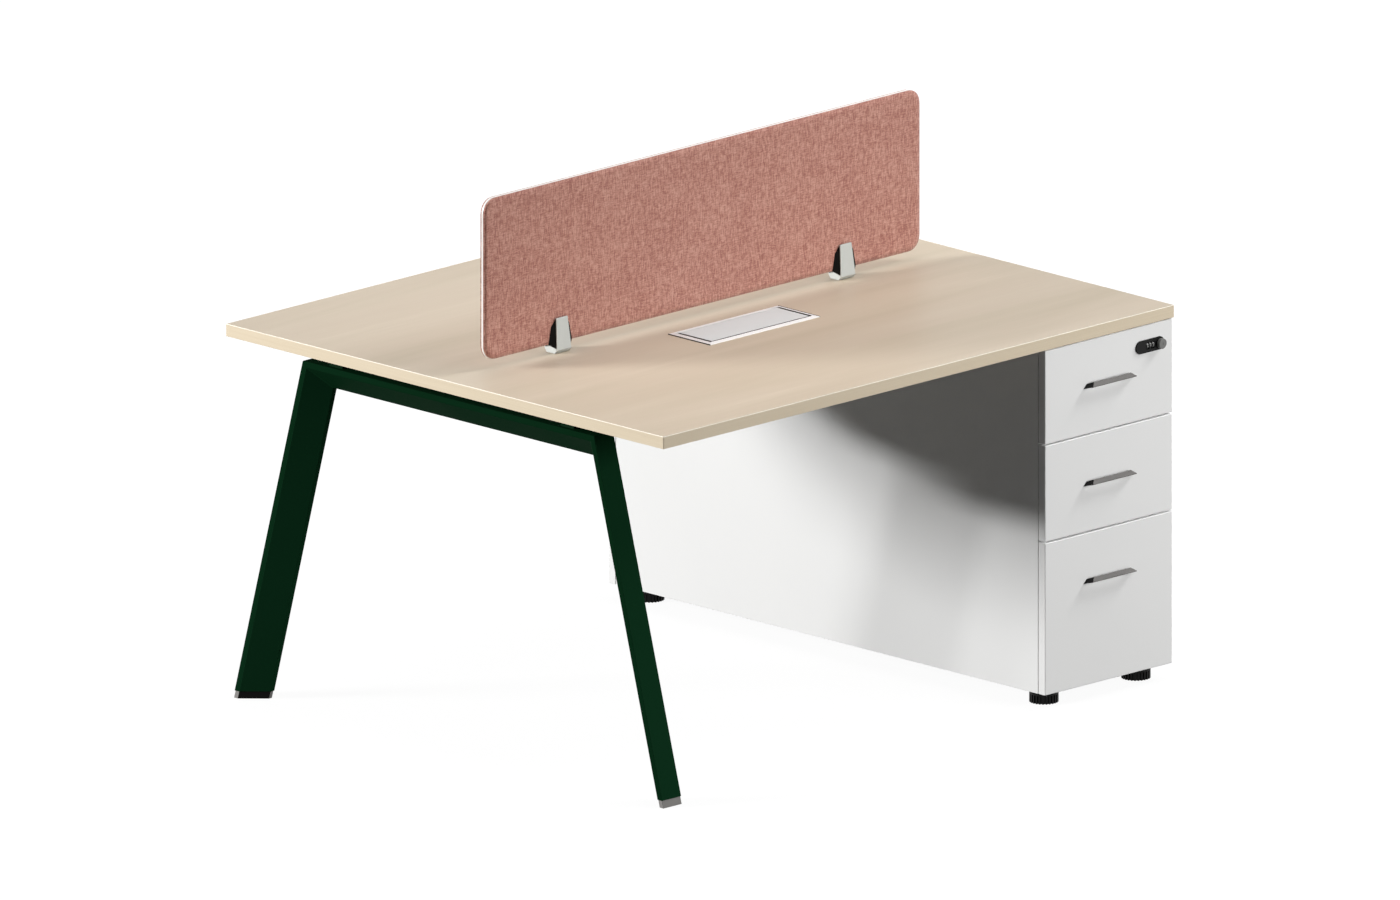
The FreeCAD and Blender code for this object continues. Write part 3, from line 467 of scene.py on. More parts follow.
@dataclass
class Palette:
    """Every finish of the desk, made once."""

    made: dict[str, bpy.types.Material] = field(default_factory=dict)

    def __post_init__(self) -> None:
        """Makes the materials."""
        finishes = (
            MapleFace(),
            MapleEdge(),
            # The lighter green on the legs' cut faces and flanks is painted light
            PowderCoat("green_steel", srgb(8, 37, 19), srgb(10, 41, 23), specular=0.006,
                       tint=srgb(100, 190, 140), accent=srgb(21, 61, 37)),
            PowderCoat("beam_steel", srgb(8, 32, 17), srgb(10, 36, 20), specular=0.06,
                       tint=srgb(110, 180, 135)),
            # The near-black on the caps' slanting faces is painted shade
            Moulded("grey_cap", srgb(141, 139, 136), srgb(135, 133, 131), depth=0.06 * MM, specular=0.06,
                    accent=srgb(14, 13, 12)),
            SatinMetal("zinc_steel", srgb(196, 198, 202), srgb(168, 170, 175), 0.36),
            SatinMetal("rail_steel", srgb(190, 192, 196), srgb(165, 168, 173), 0.34, turn=Grain.ALONG_Y),
            Moulded("white_plastic", srgb(247, 247, 246), srgb(243, 243, 242), 0.38),
            Moulded("lid_plastic", srgb(221, 228, 229), srgb(217, 224, 225), 0.40, specular=0.3),
            MelangeCloth("screen_cloth", srgb(194, 135, 120), srgb(216, 165, 149), srgb(161, 98, 86)),
            Moulded("white_trim", srgb(240, 238, 235), srgb(234, 232, 229), 0.34),
            SatinMetal("silver_clamp", srgb(186, 190, 187), srgb(178, 182, 179), 0.5, grain=brushing(120.0),
                       turn=Grain.ALONG_Z, metallic=0.1),
            Moulded("black_rubber", srgb(13, 11, 10), srgb(17, 15, 14), 0.7, 0.08 * MM, 0.1),
            # The pure white on the drawer fronts' upward faces is painted light
            Melamine("white_board", srgb(240, 240, 239), srgb(236, 236, 235), accent=srgb(255, 255, 255)),
            Melamine("drawer_board", srgb(234, 234, 232), srgb(228, 228, 226), 0.5),
            # The near-black on the handles' sideways faces is painted shade
            SatinMetal("handle_metal", srgb(104, 102, 100), srgb(98, 96, 94), 0.55, specular=0.2,
                       grain=brushing(60.0), metallic=0.1, accent=srgb(6, 5, 5)),
            Moulded("lock_plastic", srgb(15, 15, 14), srgb(12, 12, 12), 0.5, specular=0.12),
            Moulded("wheel_plastic", srgb(14, 14, 14), srgb(18, 18, 17), 0.36, specular=0.3),
            Moulded("digit_paint", srgb(214, 214, 210), srgb(196, 196, 192), 0.5),
            SatinMetal("knob_metal", srgb(111, 111, 109), srgb(102, 102, 100), 0.5, specular=0.35,
                       grain=brushing(300.0), turn=Grain.ALONG_Z, metallic=0.15),
            Moulded("foot_plastic", srgb(4, 4, 4), srgb(8, 8, 8), 0.36, 0.06 * MM, 0.14),
            # Near-black for the keyway strip: painted shade standing for the slot's depth
            Moulded("keyway_dark", srgb(12, 12, 12), srgb(16, 16, 16), 0.6),
        )
        for finish in finishes:
            self.made[finish.name] = finish.material()

    def __getitem__(self, name: str) -> bpy.types.Material:
        """The material of that name."""
        return self.made[name]


# Meshes and pieces

def body_of_node(node: str) -> str:
    """The body that a model node belongs to."""
    bodies = frame["record"]["behaviour"]["bodies"]
    return next(body for body, members in bodies.items() if node in members)


def slot_of_node(node: str) -> str:
    """The record's material slot of a model node."""
    return next(part["material_slot"] for part in frame["record"]["subparts"] if part["node"] == node)


def linked(name: str, data: bpy.types.ID) -> bpy.types.Object:
    """A new object with that mesh, curve, light or camera, in the scene."""
    made = bpy.data.objects.new(name, data)
    bpy.context.scene.collection.objects.link(made)
    return made


def shown_mesh(made: bpy.types.Object) -> bpy.types.Mesh:
    """A plain mesh of what an object shows."""
    bpy.context.view_layer.update()
    shown = made.evaluated_get(bpy.context.evaluated_depsgraph_get())
    return bpy.data.meshes.new_from_object(shown)


def baked(made: bpy.types.Object) -> bpy.types.Object:
    """Turns an object's modifiers into its mesh, and gives the object back."""
    mesh = shown_mesh(made)
    made.modifiers.clear()
    made.data = mesh
    return made


def mesh_of(name: str, build: bmesh.types.BMesh) -> bpy.types.Mesh:
    """A new mesh from a bmesh, which is then freed."""
    mesh = bpy.data.meshes.new(name)
    build.to_mesh(mesh)
    build.free()
    return mesh


def from_bmesh(name: str, build: bmesh.types.BMesh) -> bpy.types.Object:
    """A new object from a bmesh, which is then freed."""
    return linked(name, mesh_of(name, build))


def merged_copy(*nodes: str) -> bmesh.types.BMesh:
    """One bmesh of some nodes' meshes, in which triangles that meet share their points.

    Args:
        *nodes: The model nodes.

    Returns:
        The joined mesh.
    """
    build = bmesh.new()
    for node in nodes:
        build.from_mesh(frame["nodes"][node].data)
    bmesh.ops.remove_doubles(build, verts=build.verts, dist=SAME_POINT)
    return build


def flat_shaded(made: bpy.types.Object) -> bpy.types.Object:
    """Turns a smooth piece's normals so that its wide faces look flat beside their rounded edges."""
    weighted = made.modifiers.new("Flat faces stay flat", "WEIGHTED_NORMAL")
    weighted.mode = "FACE_AREA"
    weighted.weight = 100
    weighted.thresh = 0.0
    return baked(made)


def flattened(build: bmesh.types.BMesh, within: float = 0.4) -> bmesh.types.BMesh:
    """Joins triangles that lie in one plane, to so many degrees, into whole faces."""
    bmesh.ops.dissolve_limit(build, angle_limit=math.radians(within), verts=build.verts, edges=build.edges)
    return build


def mark_faces(made: bpy.types.Object, accent: FaceTest) -> None:
    """Marks each face's share of the finish's painted light and shade, by the way it faces."""
    marks = made.data.attributes.new(PAINTED_SHADING, "FLOAT", "FACE")
    for polygon in made.data.polygons:
        marks.data[polygon.index].value = accent(polygon.normal)


def upper_share(normal: Vector, least: float = 0.2) -> float:
    """All of the painted light for a face that looks upwards, none for the rest."""
    return float(normal.z > least)


def add_box(build: bmesh.types.BMesh, middle: Vector, size: Vector) -> None:
    """Adds a box of a size about a point."""
    place = Matrix.Translation(middle) @ Matrix.Diagonal((*size, 1.0))
    bmesh.ops.create_cube(build, size=1.0, matrix=place)


@dataclass(frozen=True)
class Rounding:
    """How a hard-edged shape's corners are rounded."""

    radius: float
    segments: int = 3
    sharper_than: float = 28.0

    def apply(self, made: bpy.types.Object) -> bpy.types.Object:
        """Rounds the edges of an object and smooths its shading.

        Args:
            made: The object to round.

        Returns:
            The same object with a plain mesh.
        """
        for polygon in made.data.polygons:
            polygon.use_smooth = True
        bevel = made.modifiers.new("Rounded edges", "BEVEL")
        bevel.width = self.radius
        bevel.segments = self.segments
        bevel.limit_method = "ANGLE"
        bevel.angle_limit = math.radians(self.sharper_than)
        bevel.use_clamp_overlap = True
        bevel.miter_outer = "MITER_ARC"
        return flat_shaded(made)


# Geometry Nodes

class Recipe(Graph):
    """A Geometry Nodes tree with named inputs, which ends in Realize Instances and Set Material."""

    def __init__(self, name: str) -> None:
        """Starts the tree with a geometry input and output."""
        super().__init__(bpy.data.node_groups.new(name, "GeometryNodeTree"))
        self.identifiers: dict[str, str] = {}
        faces = self.tree.interface
        faces.new_socket(name="Geometry", in_out="INPUT", socket_type="NodeSocketGeometry")
        faces.new_socket(name="Geometry", in_out="OUTPUT", socket_type="NodeSocketGeometry")
        finish = faces.new_socket(name="Finish", in_out="INPUT", socket_type="NodeSocketMaterial")
        self.identifiers["Finish"] = finish.identifier
        self.source = self.tree.nodes.new("NodeGroupInput")

    def inputs(self, **usual: float) -> list[Socket]:
        """Adds named inputs that the piece sets.

        Args:
            **usual: Each input's name, with _ for a space, and its usual value. A whole number is a count.

        Returns:
            The inputs' sockets, in that order.
        """
        for key, value in usual.items():
            kind = "NodeSocketInt" if isinstance(value, int) else "NodeSocketFloat"
            name = key.replace("_", " ")
            made = self.tree.interface.new_socket(name=name, in_out="INPUT", socket_type=kind)
            made.default_value = value
            self.identifiers[key] = made.identifier
        return [self.source.outputs[key.replace("_", " ")] for key in usual]

    def point(self, x: Socket | float = 0.0, y: Socket | float = 0.0, z: Socket | float = 0.0) -> Socket:
        """A vector from three numbers."""
        return self.out("ShaderNodeCombineXYZ", {0: x, 1: y, 2: z})

    def moved(self, shape: Socket, by: Socket, turn: Socket | Triple = (0.0, 0.0, 0.0)) -> Socket:
        """A shape turned and then moved."""
        return self.out("GeometryNodeTransform", {"Geometry": shape, "Translation": by, "Rotation": turn})

    def joined(self, *shapes: Socket) -> Socket:
        """Several shapes as one."""
        node = self.add("GeometryNodeJoinGeometry")
        for shape in shapes:
            self.tree.links.new(shape, node.inputs[0])
        return node.outputs[0]

    def strewn(self, points: Socket, shape: Socket, turn: Socket | Triple = (0.0, 0.0, 0.0)) -> Socket:
        """A shape put on every point, turned."""
        values = {"Points": points, "Instance": shape, "Rotation": turn}
        return self.out("GeometryNodeInstanceOnPoints", values)

    def on_seats(self, shape: Socket) -> Socket:
        """A shape put on every point of the start mesh, its Z the way that the point faces."""
        way = self.out("GeometryNodeInputNamedAttribute", {"Name": FACING}, data_type="FLOAT_VECTOR")
        turn = self.out("FunctionNodeAlignRotationToVector", {"Vector": way}, axis="Z")
        return self.strewn(self.source.outputs["Geometry"], shape, turn)

    def crown(self, count: Socket, radius: Socket, size: Socket) -> Socket:
        """Bars of one size that stand round a circle and face outwards."""
        ring = self.out("GeometryNodeMeshCircle", {"Vertices": count, "Radius": radius})
        bar = self.add("GeometryNodeMeshCube", {"Size": size}).outputs["Mesh"]
        place = self.out("GeometryNodeInputPosition")
        turn = self.out("FunctionNodeAlignRotationToVector", {"Vector": place}, axis="X", pivot_axis="Z")
        return self.strewn(ring, bar, turn)

    def rounded_box(self, width: Socket, height: Socket, corner: Socket, steps: int) -> Socket:
        """A rectangle's outline with rounded corners of so many steps."""
        path = self.out("GeometryNodeCurvePrimitiveQuadrilateral", {"Width": width, "Height": height})
        bend = {"Curve": path, "Count": steps, "Radius": corner}
        return self.out("GeometryNodeFilletCurve", bend, mode="POLY")

    def close(self, shape: Socket, smooth: bool = False) -> None:
        """Realizes the instances, sets the finish and ends the tree."""
        real = self.out("GeometryNodeRealizeInstances", {"Geometry": shape})
        shaded = self.out("GeometryNodeSetShadeSmooth", {"Geometry": real, "Shade Smooth": smooth})
        values = {"Geometry": shaded, "Material": self.source.outputs["Finish"]}
        done = self.out("GeometryNodeSetMaterial", values)
        self.add("NodeGroupOutput", {"Geometry": done})

    def grow(self, name: str, start: bpy.types.Mesh | None, finish: bpy.types.Material,
             **values: float) -> bpy.types.Object:
        """Runs the tree on a start mesh.

        Args:
            name: The new piece's name.
            start: The mesh that the tree begins with, or nothing.
            finish: The piece's material.
            **values: Input name, with _ for a space, to its value.

        Returns:
            The grown piece as a plain mesh.
        """
        made = linked(name, start or bpy.data.meshes.new(name))
        growth = made.modifiers.new(self.tree.name, "NODES")
        growth.node_group = self.tree
        growth[self.identifiers["Finish"]] = finish
        for key, value in values.items():
            growth[self.identifiers[key]] = value
        return baked(made)


def seats(name: str, places: Sequence[Seat]) -> bpy.types.Mesh:
    """A mesh of loose points that each face a direction.

    Args:
        name: The mesh's name.
        places: Each point and the way that it faces.

    Returns:
        The mesh, with the directions in its attribute.
    """
    mesh = bpy.data.meshes.new(name)
    mesh.from_pydata([place for place, _ in places], [], [])
    stored = mesh.attributes.new(FACING, "FLOAT_VECTOR", "POINT")
    for index, (_, way) in enumerate(places):
        stored.data[index].vector = way
    return mesh


class PanHeads(Recipe):
    """Low round screw heads with a flange and a recess, one on each point."""

    flange_share: float = 0.35
    recess_width: float = 0.5
    recess_depth: float = 0.55

    def __init__(self) -> None:
        """Builds the tree."""
        super().__init__("Pan heads")
        radius, height, flange, sides = self.inputs(
            Radius=3.5 * MM, Height=1.0 * MM, Flange=0.5 * MM, Sides=20)
        rim_radius = self.calc("ADD", radius, flange)
        rim_height = self.calc("MULTIPLY", height, self.flange_share)
        rim = self.disc(sides, rim_radius, rim_height).outputs["Mesh"]
        head = self.disc(sides, radius, height)
        inner = self.raised(head.outputs["Mesh"], head.outputs["Top"], 0.0)
        top = inner.outputs["Top"]
        shrink = {"Geometry": inner.outputs["Mesh"], "Selection": top, "Scale": self.recess_width}
        shrunk = self.out("GeometryNodeScaleElements", shrink)
        recess = self.raised(shrunk, top, self.calc("MULTIPLY", height, -self.recess_depth)).outputs["Mesh"]
        low = self.moved(rim, self.point(z=self.calc("MULTIPLY", rim_height, 0.5)))
        high = self.moved(recess, self.point(z=self.calc("MULTIPLY", height, 0.5)))
        self.close(self.on_seats(self.joined(low, high)))

    def disc(self, sides: Socket, radius: Socket, height: Socket) -> bpy.types.Node:
        """The node of a round disc."""
        return self.add("GeometryNodeMeshCylinder", {"Vertices": sides, "Radius": radius, "Depth": height})

    def raised(self, shape: Socket, faces: Socket, height: Socket | float) -> bpy.types.Node:
        """The node that pulls faces out together by a height."""
        values = {"Mesh": shape, "Selection": faces, "Offset Scale": height, "Individual": False}
        return self.add("GeometryNodeExtrudeMesh", values)


class EdgeTrim(Recipe):
    """A rounded strip that follows a rectangle with rounded corners, lying or standing."""

    path_steps: int = 12
    strip_steps: int = 3

    def __init__(self) -> None:
        """Builds the tree."""
        super().__init__("Edge trim")
        length, height, corner, thickness, width, soften, level, tilt = self.inputs(
            Length=1.192, Height=0.322, Corner=29 * MM, Thickness=2 * MM, Width=4.4 * MM, Soften=0.5 * MM,
            Level=0.9, Tilt=math.pi / 2)
        path = self.rounded_box(length, height, corner, self.path_steps)
        strip = self.rounded_box(thickness, width, soften, self.strip_steps)
        swept = self.out("GeometryNodeCurveToMesh", {"Curve": path, "Profile Curve": strip})
        self.close(self.moved(swept, self.point(z=level), self.point(x=tilt)), smooth=True)


class RibbedSkirt(Recipe):
    """Upright ribs round a circle, and thread rings up a stem, added to a turned foot."""

    ground_gap: float = 0.2 * MM
    thread_share: float = 0.28
    thread_sides: int = 4
    ring_sides: int = 24

    def __init__(self) -> None:
        """Builds the tree."""
        super().__init__("Ribbed skirt")
        ribs, radius, rib_width, rib_depth, rib_height, turns, pitch, stem, start, x, y = self.inputs(
            Ribs=26, Radius=27.0 * MM, Rib_width=3.1 * MM, Rib_depth=3.2 * MM, Rib_height=16.7 * MM,
            Turns=12, Pitch=1.75 * MM, Stem=4.7 * MM, Start=32.6 * MM, X=0.0, Y=0.0)
        skirt = self.crown(ribs, radius, self.point(rib_depth, rib_width, rib_height))
        half = self.calc("ADD", self.calc("MULTIPLY", rib_height, 0.5), self.ground_gap)
        skirt_up = self.moved(skirt, self.point(x, y, half))
        path = self.circle(self.ring_sides, stem)
        thread = self.circle(self.thread_sides, self.calc("MULTIPLY", pitch, self.thread_share))
        loop = self.out("GeometryNodeCurveToMesh", {"Curve": path, "Profile Curve": thread})
        rise = {"Count": turns, "Start Location": self.point(x, y, start), "Offset": self.point(z=pitch)}
        rings = self.strewn(self.out("GeometryNodeMeshLine", rise), loop)
        self.close(self.joined(self.source.outputs["Geometry"], skirt_up, rings))

    def circle(self, sides: int, radius: Socket) -> Socket:
        """A circle as a curve."""
        return self.out("GeometryNodeCurvePrimitiveCircle", {"Resolution": sides, "Radius": radius})


class GripRibs(Recipe):
    """Small ribs round a wheel whose axis is any direction, one ring on each point."""

    def __init__(self) -> None:
        """Builds the tree."""
        super().__init__("Grip ribs")
        ribs, radius, width, depth, length = self.inputs(
            Ribs=10, Radius=6.3 * MM, Width=0.7 * MM, Depth=0.5 * MM, Length=5.6 * MM)
        self.close(self.on_seats(self.crown(ribs, radius, self.point(depth, width, length))))


@dataclass
class Workshop:
    """Settles finished pieces on their bodies and keeps count of them."""

    palette: Palette
    count: int = 0

    def settle(self, made: bpy.types.Object, finish: str, body: str, slot: str,
               *nodes: str) -> bpy.types.Object:
        """Gives a piece its finish and puts it on its body.

        Args:
            made: The piece, in place.
            finish: The name of its finish.
            body: The body that it rides on.
            slot: The record's material slot; not used.
            *nodes: The model nodes that it stands for.

        Returns:
            The same piece.
        """
        made.data.materials.clear()
        made.data.materials.append(self.palette[finish])
        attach(made, body)
        if nodes:
            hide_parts(*nodes)
        self.count += 1
        log.info("%s: %d faces on %s", made.name, len(made.data.polygons), body)
        return made

    def paint(self, finish: str, *nodes: str) -> None:
        """Gives model nodes their finish and leaves their shape as it is."""
        for node in nodes:
            shown = frame["nodes"][node]
            shown.data.materials.clear()
            shown.data.materials.append(self.palette[finish])
            log.info("%s: painted %s", node, finish)

    def round(self, finish: str, rounding: Rounding, *nodes: str,
              accent: FaceTest | None = None) -> None:
        """Puts a copy with rounded edges in each node's place.

        Args:
            finish: The name of its finish.
            rounding: How its edges are rounded.
            *nodes: The model nodes.
            accent: Gives a face's share of the finish's painted light and shade, by the way it faces.
        """
        for node in nodes:
            made = from_bmesh(node + "_rounded", flattened(merged_copy(node)))
            rounding.apply(made)
            if accent is not None:
                mark_faces(made, accent)
            self.settle(made, finish, body_of_node(node), slot_of_node(node), node)

    def screws(self, heads: Recipe, name: str, body: str, places: Sequence[Seat], **sizes: float) -> None:
        """Puts a screw head on each place.

        Args:
            heads: The recipe of the heads.
            name: The new piece's name.
            body: The body that they ride on.
            places: Each head's place and the way that it faces.
            **sizes: The recipe's inputs.
        """
        made = heads.grow(name, seats(name, places), self.palette["zinc_steel"], **sizes)
        self.settle(made, "zinc_steel", body, "zinc_steel")


# Sub-assemblies

@dataclass
class Worktop:
    """The desktop board and its edge band."""

    shop: Workshop
    trim: EdgeTrim
    length: float = 1.4
    depth: float = 1.2
    thickness: float = 25 * MM
    middle: float = 0.7375
    band: float = 2 * MM
    corner: float = 1.1 * MM
    soften: float = 0.9 * MM

    def build(self) -> None:
        """Finishes the board and runs the band round it, with a painted highlight on the band's upward
        faces.
        """
        self.shop.paint("maple_face", "desktop")
        made = self.trim.grow("desktop_edge_strip", None, self.shop.palette["maple_edge"],
                              Length=self.length - self.band, Height=self.depth - self.band,
                              Thickness=self.band, Width=self.thickness, Corner=self.corner,
                              Soften=self.soften, Level=self.middle, Tilt=0.0)
        # Painted highlight: the band's upward faces take the pale colour
        mark_faces(flat_shaded(made), upper_share)
        self.shop.settle(made, "maple_edge", "desk", "maple_edge", "desktop_edge_band")


@dataclass
class LegFrame:
    """The two legs and the crossbar as one welded frame, and the caps in its feet."""

    shop: Workshop
    corner_radius: float = 1.2 * MM
    top_outer: tuple[float, float] = (0.39922, 0.712)
    top_inner: tuple[float, float] = (0.35702, 0.657)
    seam: float = 0.05 * MM

    def on_mitre(self, face: bmesh.types.BMFace, off_plane: float = 0.1 * MM,
                 aligned: float = 0.999) -> bool:
        """Whether a face lies inside the frame, on the plane of a mitre."""
        outer = Vector(self.top_outer)
        across = (Vector(self.top_inner) - outer).normalized()
        normal = Vector((-across.y, across.x))
        centre = face.calc_center_median()
        offset = (Vector((abs(centre.y), centre.z)) - outer).dot(normal)
        lean = Vector((math.copysign(face.normal.y, face.normal.y * centre.y), face.normal.z)).dot(normal)
        return abs(offset) < off_plane and abs(lean) > aligned

    @staticmethod
    def leg_share(normal: Vector, least: float = 0.3, flanks: float = 0.55) -> float:
        """The painted light's share: all on the legs' cut faces, about half on their flanks, none elsewhere,
        so the legs look lighter than the crossbar.
        """
        if abs(normal.y) < least:
            return 0.0
        return 1.0 if normal.x < -least else flanks

    @staticmethod
    def cap_share(normal: Vector, least: float = 0.12) -> float:
        """The painted shade's share of a cap: all on its slanting faces, none on the rest."""
        return float(abs(normal.x * normal.y) > least)

    def build(self) -> None:
        """Welds the three tubes, rounds their long edges and dresses the caps."""
        nodes = ("near_leg", "far_leg", "leg_crossbar")
        build = merged_copy(*nodes)
        inside = [face for face in build.faces if self.on_mitre(face)]
        bmesh.ops.delete(build, geom=inside, context="FACES")
        bmesh.ops.remove_doubles(build, verts=build.verts, dist=self.seam)
        made = from_bmesh("leg_frame_welded", flattened(build))
        Rounding(self.corner_radius, 4, 12.0).apply(made)
        # Painted light: a lighter green on the legs' cut faces and flanks
        mark_faces(made, self.leg_share)
        self.shop.settle(made, "green_steel", "desk", "green_steel", *nodes)
        # Painted shade: the caps' slanting faces are made near-black
        self.shop.round("grey_cap", Rounding(0.8 * MM), "leg_foot_caps", accent=self.cap_share)


@dataclass
class Understructure:
    """The beams under the top, and the bolts of their plates and of the screen's clamps."""

    shop: Workshop
    heads: PanHeads
    beam_y: float = 0.317
    plate_x: float = 0.344
    bolt_reach: float = 0.027
    bolt_z: float = 0.705
    clamp_x: float = 0.389
    clamp_bolt_step: float = 0.01025
    underside: float = 0.725

    def build(self) -> None:
        """Dresses the beams and puts in the heads of the bolts."""
        self.shop.paint("beam_steel", "desk_beams")
        bolts = [((self.plate_x, y + step, self.bolt_z), (-1, 0, 0))
                 for y in (-self.beam_y, self.beam_y) for step in (-self.bolt_reach, self.bolt_reach)]
        bolts += [((-self.clamp_x + step, 0, self.underside), (0, 0, -1))
                  for step in (-self.clamp_bolt_step, self.clamp_bolt_step)]
        self.shop.screws(self.heads, "desk_bolt_heads", "desk", bolts,
                         Radius=5.4 * MM, Height=4.0 * MM, Flange=1.8 * MM, Sides=24)


@dataclass
class Screen:
    """The screen: a board, a cloth stretched over each face, the trim round it and its two clamps."""

    shop: Workshop
    trim: EdgeTrim
    length: float = 1.1928
    height: float = 0.3228
    half_thickness: float = 5.5 * MM
    cloth_thickness: float = 0.8 * MM
    corner: float = 29.4 * MM
    foot: float = 0.7696
    board_inset: float = 0.5 * MM
    tuck: float = 1.2 * MM
    columns: int = 119
    rows: int = 32
    roll_share: float = 0.35
    wall_share: float = 0.7
    slack: float = 0.12 * MM
    waves: Triple = (41.0, 37.0, 13.0)
    wave_bend: float = 0.6

    def outline(self, inset: float, y: float, steps: int = 8) -> list[Vector]:
        """The panel's outline with rounded corners, set in by a distance, at one depth."""
        half = self.length / 2 - inset
        low, high = self.foot + inset, self.foot + self.height - inset
        radius = self.corner - inset
        centres = ((half - radius, high - radius), (radius - half, high - radius),
                   (radius - half, low + radius), (half - radius, low + radius))
        points: list[Vector] = []
        for quarter, (x, z) in enumerate(centres):
            for step in range(steps + 1):
                turn = math.pi / 2 * (quarter + step / steps)
                points.append(Vector((x + radius * math.cos(turn), y, z + radius * math.sin(turn))))
        return points

    def board(self) -> bpy.types.Object:
        """The stiff board that the cloth is stretched over."""
        build = bmesh.new()
        depth = self.half_thickness - self.cloth_thickness
        near, far = ([build.verts.new(point) for point in self.outline(self.board_inset, y)]
                     for y in (-depth, depth))
        build.faces.new(near)
        build.faces.new(far[::-1])
        for index in range(len(near)):
            build.faces.new((near[index - 1], far[index - 1], far[index], near[index]))
        bmesh.ops.recalc_face_normals(build, faces=build.faces)
        return from_bmesh("screen_board", build)

    def past_corner(self, x: float, z: float) -> tuple[float, float]:
        """How far a point of the face lies beyond the centre of the nearest corner, sideways and upright."""
        middle = self.foot + self.height / 2
        return abs(x) - (self.length / 2 - self.corner), abs(z - middle) - (self.height / 2 - self.corner)

    def face_point(self, column: int, row: int) -> Vector:
        """A point of the cloth's grid, drawn in round the panel's corners, at zero depth."""
        x = self.length * (column / self.columns - 0.5)
        rise = self.height * (row / self.rows - 0.5)
        middle = self.foot + self.height / 2
        aside, above = self.past_corner(x, middle + rise)
        if aside > 0 and above > 0:
            fit = 1 - max(aside, above) / math.hypot(aside, above)
            x -= math.copysign(aside * fit, x)
            rise -= math.copysign(above * fit, rise)
        return Vector((x, 0.0, middle + rise))

    def edge_distance(self, point: Vector) -> float:
        """How far a point of the panel's face lies inside its outline."""
        aside, above = self.past_corner(point.x, point.z)
        beyond = math.hypot(aside, above) if aside > 0 and above > 0 else max(aside, above)
        return self.corner - beyond

    def cloth_point(self, column: int, row: int, side: Side) -> Vector:
        """A point of one face's cloth, rolled in at the edges and faintly uneven."""
        point = self.face_point(column, row)
        inside = min(max(self.edge_distance(point) / self.tuck, 0.0), 1.0)
        roll = self.cloth_thickness * self.roll_share * (1 - math.sqrt(1 - (1 - inside) ** 2))
        along, upright, bending = self.waves
        bend = self.wave_bend * math.sin(point.x * bending)
        wave = math.sin(point.x * along + side.value) * math.sin(point.z * upright + bend)
        depth = self.half_thickness - roll - self.slack * (0.5 + 0.5 * wave) * inside
        return Vector((point.x, side.value * depth, point.z))

    def cloth(self, side: Side) -> bpy.types.Object:
        """One face's cloth."""
        build = bmesh.new()
        grid = [[build.verts.new(self.cloth_point(column, row, side)) for row in range(self.rows + 1)]
                for column in range(self.columns + 1)]
        for left, right in zip(grid, grid[1:]):
            for row in range(self.rows):
                corners = [left[row], right[row], right[row + 1], left[row + 1]]
                face = build.faces.new(corners if side is Side.NEAR else corners[::-1])
                face.smooth = True
        made = from_bmesh(f"screen_cloth_{side.word}", build)
        wall = made.modifiers.new("Cloth thickness", "SOLIDIFY")
        wall.thickness = self.cloth_thickness * self.wall_share
        wall.offset = -1.0
        return baked(made)

    def build(self) -> None:
        """Builds the board, cloths and trim, and dresses the clamps."""
        board = self.shop.settle(self.board(), "screen_cloth", "desk", "screen_fabric", "screen_panel")
        for side in Side:
            cloth = self.shop.settle(self.cloth(side), "screen_cloth", "desk", "screen_fabric")
        trim = self.trim.grow("screen_trim_strip", None, self.shop.palette["white_trim"],
                              Level=self.foot + self.height / 2)
        self.shop.settle(flat_shaded(trim), "white_trim", "desk", "white_trim", "screen_edge_trim")
        self.shop.round("silver_clamp", Rounding(0.8 * MM, sharper_than=8.0), "screen_clamps")
        self.shop.round("black_rubber", Rounding(1.2 * MM, sharper_than=20.0), "clamp_pads")


@dataclass
class CableBoxes:
    """The two cable boxes let into the top, with their tubs and lids, and dark strips round each: a brush
    strip at each lid's free edge, and strips of painted shade in the lid's end gaps and at the frame's ends.
    """

    shop: Workshop
    # Black boxes at the lid's free edge, at its two ends and along the frame's ends: painted shade for those
    # gaps, the first also a brush strip
    seals: tuple[tuple[Triple, Triple], ...] = (
        ((-0.1325, -0.1688, 0.7505), (0.1325, -0.1669, 0.7534)),
        ((-0.1397, -0.1655, 0.7485), (-0.1332, -0.0785, 0.7525)),
        ((0.1332, -0.1655, 0.7485), (0.1397, -0.0785, 0.7525)),
        ((-0.1509, -0.1788, 0.7500), (-0.1499, -0.0632, 0.7516)),
        ((0.1499, -0.1788, 0.7500), (0.1509, -0.0632, 0.7516)))

    def seal(self, side: Side) -> bpy.types.Object:
        """The dark strips: a brush strip at a lid's free edge that also darkens the gap beside it as painted
        shade, and painted shade in the gaps at its two ends and along the frame's ends.
        """
        build = bmesh.new()
        for low, high in self.seals:
            add_box(build, (Vector(low) + Vector(high)) / 2, Vector(high) - Vector(low))
        if side is Side.FAR:
            half_turn = Matrix.Rotation(math.pi, 3, "Z")
            bmesh.ops.rotate(build, verts=build.verts, matrix=half_turn, cent=(0, 0, 0))
        return Rounding(0.15 * MM, 2).apply(from_bmesh(side.word + "_lid_seal", build))

    def build(self) -> None:
        """Rounds and dresses frames, tubs, lids, and the dark brush and shade strips."""
        self.shop.round("white_plastic", Rounding(0.4 * MM, sharper_than=14.0), "cable_box_frames")
        self.shop.round("white_plastic", Rounding(0.8 * MM), "cable_box_tubs")
        self.shop.round("lid_plastic", Rounding(0.5 * MM, sharper_than=40.0), "near_cable_lid",
                        "far_cable_lid")
        for side in Side:
            self.shop.settle(self.seal(side), "black_rubber", "desk", "black_rubber")


# The height of each drawer's runners
RUNNER_LEVELS: dict[Drawer, float] = {Drawer.BOTTOM: 0.0930, Drawer.MIDDLE: 0.4009, Drawer.TOP: 0.5965}


